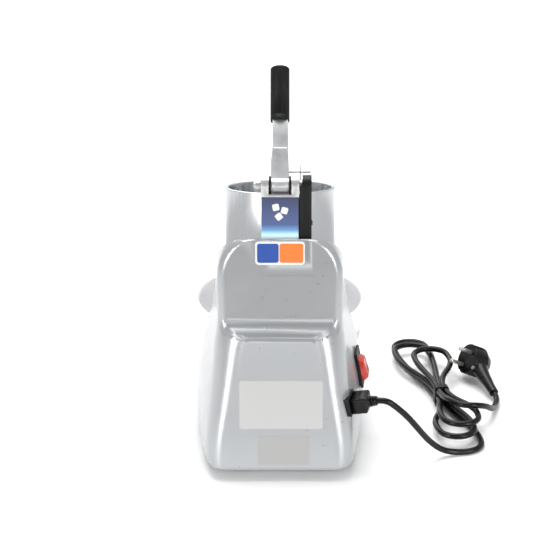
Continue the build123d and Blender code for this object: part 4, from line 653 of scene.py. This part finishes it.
# ---------------------------------------------------------------------------------------------
# Labels: all bare, or plain colour fields
# ---------------------------------------------------------------------------------------------
@dataclass
class Label:
    """Thin film with rounded corners, lying on a flat face."""

    name: str
    middle: Vector
    across: Vector
    up: Vector
    width: float
    height: float
    corner: float
    look: Look
    slot: str = "painted_silver"
    thickness: float = 0.16 * MM
    lift: float = 0.03 * MM

    def build(self) -> bpy.types.Object:
        """Make the film from a plane with rounded corners.

        Returns:
            The label.
        """
        deselect()
        bpy.ops.mesh.primitive_plane_add(size=1.0)
        piece = bpy.context.object
        piece.name = self.name
        piece.scale = (self.width, self.height, 1.0)
        settle(piece)
        bpy.ops.object.mode_set(mode="EDIT")
        bpy.ops.mesh.select_all(action="SELECT")
        bpy.ops.mesh.bevel(offset=self.corner, segments=6, affect="VERTICES")
        bpy.ops.mesh.select_all(action="SELECT")
        bpy.ops.mesh.extrude_region_move(TRANSFORM_OT_translate={"value": (0, 0, self.thickness)})
        bpy.ops.object.mode_set(mode="OBJECT")
        close_up(piece, 1e-7)
        out = self.across.cross(self.up).normalized()
        turn = Matrix((self.across.normalized(), self.up.normalized(), out)).transposed().to_4x4()
        piece.data.transform(Matrix.Translation(self.middle + out * self.lift) @ turn)
        smooth(piece, 30)
        dress(piece, self.look)
        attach(piece, "machine")
        return piece


@dataclass
class Labels:
    """The plain films on the rear of the machine."""

    bulge_lean: float = math.atan2(27.0, 142.0)     # of the lower rear face
    bulge_y: float = 175.0 * MM                     # its lower edge
    bulge_z: float = 16.0 * MM
    column_z: float = 250.0 * MM                    # middle of the column's label
    bracket_rear: float = 82.0 * MM                 # the bracket's rear face, from the hopper's axis
    upper_film: float = 0.17 * MM                   # a film on another lies this far behind it
    block_side: float = 7.2 * MM
    block_corner: float = 1.6 * MM
    block_thickness: float = 0.08 * MM

    def on_bulge(self, x: float, z: float) -> Vector:
        """Place on the leaning rear face at a height."""
        return Vector((x, self.bulge_y - math.tan(self.bulge_lean) * (z - self.bulge_z), z))

    def build(self) -> None:
        """Make all films."""
        left = Vector((-1, 0, 0))
        lean_up = Vector((0, -math.sin(self.bulge_lean), math.cos(self.bulge_lean)))
        upright = Vector((0, 0, 1))
        bracket_up = Vector((0, -math.sin(HOPPER_LEAN), math.cos(HOPPER_LEAN)))
        column = Vector((0, COLUMN_Y, self.column_z))
        blue = column + Vector((13.0 * MM, self.upper_film, 0))
        orange = column + Vector((-12.2 * MM, self.upper_film, 0))
        bracket = from_hopper(0, self.bracket_rear, -23.5 * MM)
        films = (       # name, middle, way up, then width, height and corner radius in mm, finish
            ("rating_plate_bare", self.on_bulge(-1.1 * MM, 85.7 * MM), lean_up, 90.5, 54.0, 3.0, Look.FOIL),
            ("white_label_bare", self.on_bulge(-3.8 * MM, 35.3 * MM), lean_up, 56.6, 32.6, 1.5,
             Look.GREY_FILM),
            ("column_label", column, upright, 53.0, 27.0, 4.0, Look.FILM),
            ("column_label_blue", blue, upright, 23.0, 22.0, 2.5, Look.BLUE_FILM),
            ("column_label_orange", orange, upright, 25.4, 22.0, 2.5, Look.ORANGE_FILM),
            ("bracket_label", bracket, bracket_up, 39.6, 45.0, 1.0, Look.ICE))
        for name, middle, up, width, height, corner, look in films:
            Label(name, middle, left, up, width * MM, height * MM, corner * MM, look).build()
        self.ice_blocks(left, bracket_up)

    def ice_blocks(self, across: Vector, up: Vector) -> None:
        """Three plain rounded squares, like cubes of ice, on the bracket's film."""
        blocks = ((4.5, -12.0, 12.0), (-4.8, -15.5, -16.0), (1.2, -22.0, 38.0))     # place, mm, and turn
        for index, (x, v, turn) in enumerate(blocks):
            angle = math.radians(turn)
            a = across * math.cos(angle) + up * math.sin(angle)
            b = up * math.cos(angle) - across * math.sin(angle)
            middle = from_hopper(x * MM, self.bracket_rear + self.upper_film, v * MM)
            Label(f"ice_block_{index}", middle, a, b, self.block_side, self.block_side, self.block_corner,
                  Look.FILM, thickness=self.block_thickness).build()


# ---------------------------------------------------------------------------------------------
# Mains lead
# ---------------------------------------------------------------------------------------------
@dataclass
class MainsLead:
    """One lead from the connector down to the table, through the tied hank and on to the plug.

    The places on its route are in millimetres.
    """

    radius: float = 3.5 * MM
    waist: Vector = field(default_factory=lambda: Vector((-190.0, -12.0, 0.0)) * MM)
    turn: float = math.radians(9.3)        # the hank's far end points this far off -Y
    strand_step: float = 7.6 * MM
    layer_step: float = 7.8 * MM
    tie_thickness: float = 1.0 * MM
    fit: float = 0.3 * MM
    arc_step: float = math.radians(30)
    exit: tuple[float, float, float] = (-106.137, 147.341, 83.757)
    lead_route: tuple[tuple[float, float, float], ...] = (
        (-115.706, 149.491, 85.709), (-128.1, 147.0, 75.2), (-140.6, 144.0, 61.9), (-152.0, 138.0, 45.3),
        (-165.5, 128.0, 24.3), (-181.0, 119.5, 8.5))
    tail_route: tuple[tuple[float, float, float], ...] = (
        (-191.5, 20.0, 25.0), (-196.5, 35.0, 29.0), (-208.0, 48.0, 29.3), (-224.0, 49.0, 29.3),
        (-238.0, 38.0, 23.0), (-247.0, 20.0, 10.0), (-252.5, 2.0, 5.0))
    plug_face: tuple[float, float, float] = (-226.0, -82.0, 27.5)
    pin_way: tuple[float, float, float] = (0.81, 0.355, 0.463)         # the plug's pins point this way
    pin_row: tuple[float, float, float] = (-0.51, 0.04, 0.856)         # from one of them to the other
    neck_length: float = 64.0 * MM
    neck_depth: float = 12.0 * MM
    neck_run: float = 11.0 * MM            # straight run of the lead before the neck
    entry_side: float = -2.0 * MM          # middle of the bend into the hank
    entry_far: float = -103.0 * MM
    entry_radius: float = 24.0 * MM
    entry_run: float = 11.0 * MM           # straight run before it
    tie_run: float = 10.0 * MM             # straight run after the last pass through the tie
    lead_mm: float = 144.2                 # real lengths of the three stretches of the lead
    hank_mm: float = 1560.1
    tail_mm: float = 161.7
    # far loop: right side, reach, left side; near loop: left side, reach, right side
    loops: tuple[tuple[float, ...], ...] = ((19.0, 153.0, -23.0, -24.0, 86.0, 18.0),
                                            (13.0, 124.0, -29.0, -16.0, 72.0, 26.0),
                                            (30.0, 92.0, -12.0, 0.0, 0.0, 0.0))

    def place(self, side: float, far: float, z: float) -> Vector:
        """Place in the hank: side towards -X, far away from the waist, height."""
        far_way = Vector((math.sin(self.turn), -math.cos(self.turn), 0))
        side_way = Vector((-math.cos(self.turn), -math.sin(self.turn), 0))
        return self.waist + side_way * side + far_way * far + Vector((0, 0, z))

    def bend(self, side: float, far: float, radius: float, start: float, end: float,
             z: float) -> list[Vector]:
        """Corners of the polygon round an arc, whose sides touch it.

        Args:
            side: middle of the arc across the hank.
            far: middle of the arc along the hank.
            radius: of the arc.
            start: angle where it starts, in degrees from the side direction.
            end: angle where it ends.
            z: height.

        Returns:
            The polygon's corners in order.
        """
        count = round(math.radians(end - start) / self.arc_step)
        outer = radius / math.cos(self.arc_step / 2)
        angles = [math.radians(start) + self.arc_step * (i + 0.5) for i in range(count)]
        return [self.place(side + outer * math.cos(a), far + outer * math.sin(a), z) for a in angles]

    def sway(self, start: Vector, end: Vector, way: Vector) -> list[Vector]:
        """Corners of a run that leaves and arrives along the same direction."""
        span = end - start
        reach = span.length_squared / (4 * span.dot(way))
        return [start + way * reach, end - way * reach]

    def hank(self) -> list[Vector]:
        """Corners of the whole hank, a layer higher after each turn.

        Returns:
            The points in the order of the lead.
        """
        column = self.strand_step / 2
        low = self.radius + self.tie_thickness + self.fit
        far_way = self.place(0, 1, 0) - self.place(0, 0, 0)
        near_way = far_way * -1
        side, far, radius = self.entry_side, self.entry_far, self.entry_radius
        points = [self.place(side - self.entry_run, far - radius, self.radius)]
        points += self.bend(side, far, radius, -90, 0, self.radius)
        here = self.place(side + radius, far, self.radius)
        for layer, values in enumerate(self.loops):
            right, reach, left, near_left, near_reach, near_right = (value * MM for value in values)
            level = low + layer * self.layer_step
            rest = self.radius if layer == 0 else level
            waist_right = self.place(column, 0, level)
            waist_left = self.place(-column, 0, level)
            far_right = self.place(right, reach, rest)
            far_left = self.place(left, reach, rest)
            points += self.sway(here, waist_right, far_way) + self.sway(waist_right, far_right, far_way)
            points += self.bend((right + left) / 2, reach, (right - left) / 2, 0, 180, rest)
            points += self.sway(far_left, waist_left, near_way)
            if near_reach:
                above = level + self.layer_step
                near_a = self.place(near_left, -near_reach, above)
                here = self.place(near_right, -near_reach, above)
                points += self.sway(waist_left, near_a, near_way)
                points += self.bend((near_left + near_right) / 2, -near_reach, (near_right - near_left) / 2,
                                    180, 360, above)
            else:
                points.append(waist_left + near_way * self.tie_run)
        return points

    def route(self) -> list[Vector]:
        """All control points from the connector to the plug's neck."""
        pins = Vector(self.pin_way).normalized()
        neck = Vector(self.pin_row).cross(pins).normalized()
        end = Vector(self.plug_face) * MM + neck * self.neck_length - pins * self.neck_depth
        points = [Vector(self.exit) * MM] + [Vector(p) * MM for p in self.lead_route]
        points += self.hank() + [Vector(p) * MM for p in self.tail_route]
        return points + [end + neck * self.neck_run, end]

    def build(self, ends: Sequence[bpy.types.Object]) -> bpy.types.Object:
        """Make the lead as one smooth curve.

        Args:
            ends: the pieces on the lead; not used.

        Returns:
            The lead.
        """
        points = self.route()
        curve = bpy.data.curves.new("mains_lead", "CURVE")
        curve.dimensions = "3D"
        curve.resolution_u = 8
        curve.bevel_depth = self.radius
        curve.bevel_resolution = 5
        curve.use_fill_caps = True
        spline = curve.splines.new("NURBS")
        spline.points.add(len(points) - 1)
        for target, point in zip(spline.points, points):
            target.co = (*point, 1.0)
        spline.order_u = 3
        spline.use_endpoint_u = True
        piece = bpy.data.objects.new("mains_lead", curve)
        bpy.context.scene.collection.objects.link(piece)
        curve.materials.append(Look.PVC.material())
        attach(piece, "machine")
        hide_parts("cord_lead", "cord_hank", "cord_tail")
        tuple(points[0])
        return piece

    def length(self) -> float:
        """The lead's real length, from the connector through the hank to the plug."""
        return (self.lead_mm + self.hank_mm + self.tail_mm) * MM


# ---------------------------------------------------------------------------------------------
# Room: floor, light and camera
# ---------------------------------------------------------------------------------------------
@dataclass
class Studio:
    """Pale table, soft light from all round and the photograph's camera."""

    frame_px: int = 560
    focal_px: float = 1991.0
    distance: float = 2200.0 * MM
    pitch: float = math.radians(22.8)
    target: Vector = field(default_factory=lambda: Vector((0.0, 72.0, 195.0)) * MM)
    sensor_mm: float = 36.0
    table_width: float = 7.0
    table_front: float = -6.0
    table_rear: float = 3.4
    table_drop: float = 0.2 * MM       # its top lies this far under the feet
    room_light: float = 0.68
    room_dim: float = 0.45             # share of it that comes from behind the camera

    def build(self) -> None:
        """Set up floor, world, lamps and camera."""
        self.floor()
        self.world()
        self.lamps()
        self.camera()

    def floor(self) -> None:
        """Pale table top under the machine."""
        deselect()
        bpy.ops.mesh.primitive_plane_add(size=1.0)
        plane = bpy.context.object
        plane.name = "table_top"
        plane.scale = (self.table_width, self.table_rear - self.table_front, 1.0)
        plane.location = (0, (self.table_rear + self.table_front) / 2, -self.table_drop)
        settle(plane)
        # the paper's colour carries painted shade, darkening towards the camera
        paper = TablePaper("table_paper", "#FCFCFC", roughness=0.9, specular=0.1)
        plane.data.materials.append(paper.material())

    def world(self) -> None:
        """Pale surroundings, dimmer behind the camera."""
        world = bpy.data.worlds.new("studio_world")
        bpy.context.scene.world = world
        world.use_nodes = True
        tree = world.node_tree
        background = tree.nodes["Background"]
        background.inputs["Color"].default_value = linear("#F6F7F8")
        way = add_node(tree, "ShaderNodeTexCoord").outputs["Generated"]
        parts = add_node(tree, "ShaderNodeSeparateXYZ", links={"Vector": way})
        fade = add_node(tree, "ShaderNodeMapRange", {"interpolation_type": "SMOOTHSTEP"},
                        {"Value": parts.outputs["Y"]}, From_Min=0.1, From_Max=0.8,
                        To_Min=self.room_light, To_Max=self.room_light * self.room_dim)
        tree.links.new(fade.outputs["Result"], background.inputs["Strength"])
        bpy.context.scene.view_settings.view_transform = "Standard"

    def lamps(self) -> None:
        """Five soft boxes: above, at both sides, beyond the machine and low behind the camera."""
        aim = Vector((0, 40, 170)) * MM
        boxes = (       # name, place, width, height, power
            ("box_top", (0.1, -0.6, 2.1), 1.6, 1.6, 40.0),
            ("box_left", (1.55, 1.75, 0.62), 0.5, 1.2, 30.0),
            ("box_right", (-1.55, 1.75, 0.62), 0.5, 1.2, 28.0),
            ("box_far", (0.5, -2.4, 1.3), 1.3, 1.3, 12.0),
            ("box_rear", (0.0, 3.0, 0.30), 2.0, 0.5, 9.0))
        for name, where, size, tall, power in boxes:
            light = bpy.data.lights.new(name, "AREA")
            light.shape = "RECTANGLE"
            light.size, light.size_y = size, tall
            light.energy = power
            lamp = bpy.data.objects.new(name, light)
            bpy.context.scene.collection.objects.link(lamp)
            lamp.location = where
            lamp.rotation_euler = (aim - Vector(where)).to_track_quat("-Z", "Y").to_euler()

    def camera(self) -> None:
        """Camera behind the machine, looking down on it along -Y."""
        data = bpy.data.cameras.new("camera")
        data.sensor_width = self.sensor_mm
        data.lens = self.sensor_mm * self.focal_px / self.frame_px
        data.clip_start, data.clip_end = 0.05, 50.0
        camera = bpy.data.objects.new("camera", data)
        bpy.context.scene.collection.objects.link(camera)
        back = Vector((0, math.cos(self.pitch), math.sin(self.pitch)))
        camera.location = self.target + back * self.distance
        camera.rotation_euler = (-back).to_track_quat("-Z", "Y").to_euler()
        bpy.context.scene.camera = camera


def main() -> None:
    """Load the frame, build each piece on it and set up the room."""
    logging.basicConfig(level=logging.INFO, format="%(name)s %(message)s")
    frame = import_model()
    Studio().build()
    pieces = DressedFrame(frame["nodes"]).build()
    ends = [pieces[name] for name in ("cord_connector", "cord_tie", "plug_body", "plug_pins",
                                      "plug_earth_strips")]
    MainsLead().build(ends)
    Bowl().build()
    Labels().build()


if __name__ == "__main__":
    main()
